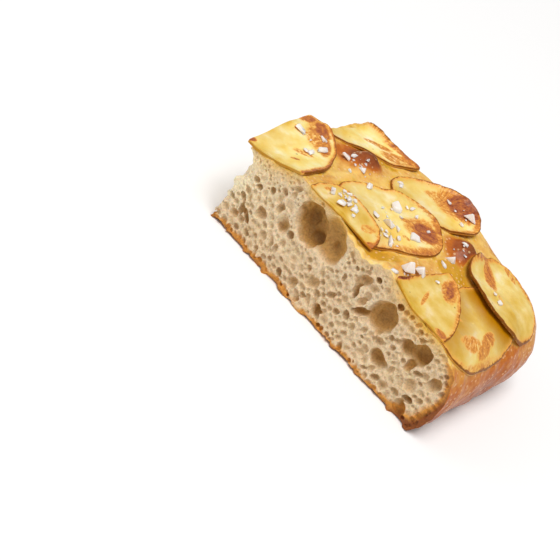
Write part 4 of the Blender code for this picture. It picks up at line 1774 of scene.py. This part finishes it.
@dataclass(frozen=True)
class PotatoFinish(Finish):
    """Potato sliced raw and baked in oil: moist yellow flesh, toasted brown, with a dark papery skin."""

    NAME = "roast potato, sliced"
    pale: Stops = ((0.3, "#f6cf64"), (0.44, "#fbde86"), (0.57, "#fce8a2"), (0.7, "#fef2cc"))
    # Wet flesh in deeper yellows, which also stand for painted shade
    moist: Stops = ((0.3, "#c49020"), (0.44, "#d2a438"), (0.57, "#dcb450"), (0.7, "#eaca84"))
    # Amber of the painted shade under and beside the slices laid over it
    painted_amber_shade: str = "#b87a04"
    fleck: str = "#8a5a1e"
    near_rim: str = "#eeb04c"
    toasted: Stops = ((0.0, "#f6ca66"), (0.2, "#eca850"), (0.42, "#d0843c"), (0.62, "#b4683c"),
                      (0.82, "#985238"), (1.0, "#763a26"))
    skin: str = "#552a0c"
    skin_light: str = "#ae6a22"
    fleck_width: float = 7.0
    patch_width: float = 9.0
    mottle_width: float = 1.6
    streak_width: float = 1.3
    # The flesh's grains are about 0.2 mm wide, and are drawn this coarse so that they show
    fibre_width: float = 0.7
    scatter: Triple = (1.2, 0.9, 0.35)

    def flesh(self, tree: bpy.types.NodeTree, place: Socket, rim: Socket) -> Socket:
        """Colour the flesh where it isn't toasted.

        Args:
            tree: The material's tree.
            place: Place on the piece.
            rim: Distance in from the rim, in millimetres.

        Returns:
            The colour.
        """
        patches = node(tree, "TexNoise", {
            "Vector": place, "Scale": per_metre(self.patch_width), "Detail": 4.0, "Roughness": 0.5})
        wetness, painted_amber_shade = (node(tree, "Attribute", gives="Fac", attribute_name=name)
                           for name in ("moist", "painted_amber_shade"))
        pale, moist = (node(tree, "ValToRGB", (patches,), stops=stops) for stops in (self.pale, self.moist))
        colour = node(tree, "Mix", (wetness, pale, moist), data_type="RGBA")
        flecks = node(tree, "TexVoronoi", {"Vector": place, "Scale": per_metre(self.fleck_width)})
        flecks = node(tree, "MapRange", (flecks, 0.04, 0.075, 0.8, 0.0))
        band = node(tree, "MapRange", (rim, 0.5, 4.5, 0.75, 0.0), interpolation_type="SMOOTHSTEP")
        band = node(tree, "Math", (band, patches), operation="MULTIPLY")
        # Painted amber shade beside overlying slices, then flecks, then the browned band near the rim
        for amount, tint in ((painted_amber_shade, self.painted_amber_shade), (flecks, self.fleck), (band, self.near_rim)):
            colour = node(tree, "Mix", (amount, colour, linear(tint)), data_type="RGBA")
        return colour

    def ragged(self, tree: bpy.types.NodeTree, mottle: Socket, rim: Socket) -> Socket:
        """Make the browning uneven, with mottles and with streaks that run in from the rim.

        Args:
            tree: The material's tree.
            mottle: The mottled noise.
            rim: Distance in from the rim, in millimetres.

        Returns:
            What is added to the browning, which is nothing on the average.
        """
        ray_x, ray_y = (node(tree, "Attribute", gives="Fac", attribute_name=name)
                        for name in ("ray_x", "ray_y"))
        inward = node(tree, "Math", (rim, 0.3 / self.streak_width), operation="MULTIPLY")
        ray = node(tree, "CombineXYZ", (ray_x, ray_y, inward))
        streaks = node(tree, "TexNoise", {"Vector": ray, "Scale": 1.0, "Detail": 4.0, "Roughness": 0.6})
        both = node(tree, "Math", (mottle, streaks))
        return node(tree, "MapRange", (both, 0.65, 1.35, -0.44, 0.44))

    def shader(self, tree: bpy.types.NodeTree, place: Socket) -> Socket:
        """Toast the flesh, and put the skin round its rim.

        Args:
            tree: The material's tree.
            place: Place on the piece.

        Returns:
            The shader's output.
        """
        toast, skin, rim = (node(tree, "Attribute", gives="Fac", attribute_name=name)
                            for name in ("toast", "skin", "rim"))
        mottle = node(tree, "TexNoise", {
            "Vector": place, "Scale": per_metre(self.mottle_width), "Detail": 5.0, "Roughness": 0.65,
            "Distortion": 0.4})
        ragged = self.ragged(tree, mottle, rim)
        edge = node(tree, "MapRange", (toast, 0.0, 0.35, 0.0, 0.85))
        rough_edge = node(tree, "Math", (ragged, edge), operation="MULTIPLY")
        level = node(tree, "Math", (rough_edge, toast))
        brown = node(tree, "ValToRGB", (level,), stops=self.toasted)
        amount = node(tree, "MapRange", (level, 0.02, 0.3), interpolation_type="SMOOTHSTEP")
        colour = node(tree, "Mix", (amount, self.flesh(tree, place, rim), brown), data_type="RGBA")
        peel = node(tree, "Mix", (mottle, linear(self.skin), linear(self.skin_light)), data_type="RGBA")
        line = node(tree, "MapRange", (rim, 0.15, 1.05, 1.0, 0.0))
        on_rim = node(tree, "Math", (skin, line), operation="MAXIMUM")
        on_rim = node(tree, "Math", (on_rim, ragged))
        on_rim = node(tree, "MapRange", (on_rim, 0.3, 0.75), interpolation_type="SMOOTHSTEP")
        colour = node(tree, "Mix", (on_rim, colour, peel), data_type="RGBA")
        fibres = node(tree, "TexNoise", {
            "Vector": place, "Scale": per_metre(self.fibre_width), "Detail": 3.0})
        relief = node(tree, "Math", (mottle, fibres))
        bump = node(tree, "Bump", {"Height": relief, "Strength": 0.4, "Distance": 0.35 * MM})
        rough = node(tree, "MapRange", (mottle, 0.3, 0.7, 0.28, 0.45))
        return node(tree, "BsdfPrincipled", {
            "Base Color": colour, "Roughness": rough, "Normal": bump, "Subsurface Weight": 0.45,
            "Subsurface Radius": self.scatter, "Subsurface Scale": MM, "Specular IOR Level": 0.02,
            "Coat Weight": 0.2, "Coat Roughness": 0.12})


@dataclass(frozen=True)
class SaltFinish(Finish):
    """Sea salt in flakes: clear crystal clouded white by tiny faults, so it glints at its edges."""

    NAME = "sea salt, flaked"
    cloudy: str = "#fff6f0"
    clear: str = "#fadfd4"
    cloud_width: float = 1.0
    refraction: float = 1.54
    scatter: Triple = (1.6, 1.5, 1.45)

    def shader(self, tree: bpy.types.NodeTree, place: Socket) -> Socket:
        """Cloud the crystal.

        Args:
            tree: The material's tree.
            place: Place on the piece.

        Returns:
            The shader's output.
        """
        clouds = node(tree, "TexNoise", {
            "Vector": place, "Scale": per_metre(self.cloud_width), "Detail": 3.0})
        colour = node(tree, "Mix", (clouds, linear(self.cloudy), linear(self.clear)), data_type="RGBA")
        return node(tree, "BsdfPrincipled", {
            "Base Color": colour, "Roughness": 0.22, "IOR": self.refraction, "Subsurface Weight": 1.0,
            "Subsurface Radius": self.scatter, "Subsurface Scale": MM})


@dataclass(frozen=True)
class PaperFinish(Finish):
    """Seamless backdrop paper: matt and nearly white, so it only shows the shade under the bread."""

    NAME = "backdrop paper"
    colour: str = "#fdfcfb"
    # The paper's fibres are far finer, and are drawn this coarse so that they show at all
    grain: float = 2.0

    def shader(self, tree: bpy.types.NodeTree, place: Socket) -> Socket:
        """Give the paper its grain.

        Args:
            tree: The material's tree.
            place: Place on the piece.

        Returns:
            The shader's output.
        """
        grain = node(tree, "TexNoise", {"Vector": place, "Scale": per_metre(self.grain), "Detail": 2.0})
        bump = node(tree, "Bump", {"Height": grain, "Strength": 0.05, "Distance": 0.1 * MM})
        return node(tree, "BsdfPrincipled", {
            "Base Color": linear(self.colour), "Roughness": 0.9, "Specular IOR Level": 0.2, "Normal": bump})


@dataclass
class Studio:
    """The pale floor, the soft light and the camera."""

    # The camera's place in millimetres, the way that it looks, and its roll in degrees
    eye: Triple = (168.35, -534.0, 334.75)
    forward: Triple = (-0.30426, 0.78669, -0.53717)
    roll: float = 36.022
    lens: float = 89.94
    # The floor's width in metres, and how far in millimetres it lies below the base
    floor_width: float = 6.0
    floor_drop: float = 0.1
    # The way to each light from the bread, distance and width in metres, and power in watts
    key_from: Triple = (0.12, -0.28, 0.95)
    key_distance: float = 5.0
    key_size: float = 3.0
    key_power: float = 205.0
    fill_from: Triple = (-0.8, -0.5, 0.4)
    fill_power: float = 24.0
    # Strength of the white light from all round
    sky: float = 0.34

    def camera(self) -> None:
        """Place the camera at the photograph's angle."""
        forward = Vector(self.forward).normalized()
        upright = Vector((0, 0, 1))
        upright = (upright - forward * upright.dot(forward)).normalized()
        side = forward.cross(upright)
        c, s = math.cos(math.radians(self.roll)), math.sin(math.radians(self.roll))
        right = c * side + s * upright
        up = c * upright - s * side
        data = bpy.data.cameras.new("camera")
        data.lens = self.lens
        data.sensor_width = 36.0
        camera = bpy.data.objects.new("camera", data)
        turned = Matrix((right, up, -forward)).transposed().to_4x4()
        camera.matrix_world = Matrix.Translation(Vector(self.eye) * MM) @ turned
        bpy.context.scene.collection.objects.link(camera)
        bpy.context.scene.camera = camera

    def lamp(self, name: str, towards: Triple, power: float, size: float) -> None:
        """Add a soft square light that faces the bread.

        Args:
            name: The light's name.
            towards: The way to it from the bread.
            power: Its power in watts.
            size: Its width in metres.
        """
        data = bpy.data.lights.new(name, "AREA")
        data.energy = power
        data.size = size
        lamp = bpy.data.objects.new(name, data)
        way = Vector(towards).normalized()
        lamp.location = way * self.key_distance
        lamp.rotation_euler = way.to_track_quat("Z", "Y").to_euler()
        bpy.context.scene.collection.objects.link(lamp)

    def surroundings(self) -> None:
        """White light from all round, and a white that the camera sees."""
        world = bpy.data.worlds.new("studio")
        world.use_nodes = True
        tree = world.node_tree
        tree.nodes.clear()
        seen = node(tree, "LightPath", gives="Is Camera Ray")
        strength = node(tree, "MapRange", (seen, 0.0, 1.0, self.sky, 1.0))
        shader = node(tree, "Background", (linear("#ffffff"), strength))
        node(tree, "OutputWorld", {"Surface": shader})
        bpy.context.scene.world = world

    def floor(self) -> None:
        """Lay the floor just under the bread."""
        half = self.floor_width / 2
        mesh = bpy.data.meshes.new("floor")
        corners = [(-half, -half, 0.0), (half, -half, 0.0), (half, half, 0.0), (-half, half, 0.0)]
        mesh.from_pydata(corners, [], [(0, 1, 2, 3)])
        mesh.materials.append(PaperFinish().material())
        floor = bpy.data.objects.new("floor", mesh)
        floor.location.z = -self.floor_drop * MM
        bpy.context.scene.collection.objects.link(floor)

    def build(self) -> None:
        """Set everything up."""
        bpy.context.scene.view_settings.view_transform = "Standard"
        self.camera()
        self.surroundings()
        self.lamp("key", self.key_from, self.key_power, self.key_size)
        self.lamp("fill", self.fill_from, self.fill_power, self.key_size)
        self.floor()


def main() -> None:
    """Build the focaccia around the frame."""
    logging.basicConfig(level=logging.INFO, format="%(name)s: %(message)s")
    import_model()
    Studio().build()
    dough, topping = BreadField(), Topping()
    Bread(dough, topping).build()
    ground = Ground(dough)
    topping.build(ground)
    Salt().build(ground)


if __name__ == "__main__":
    main()
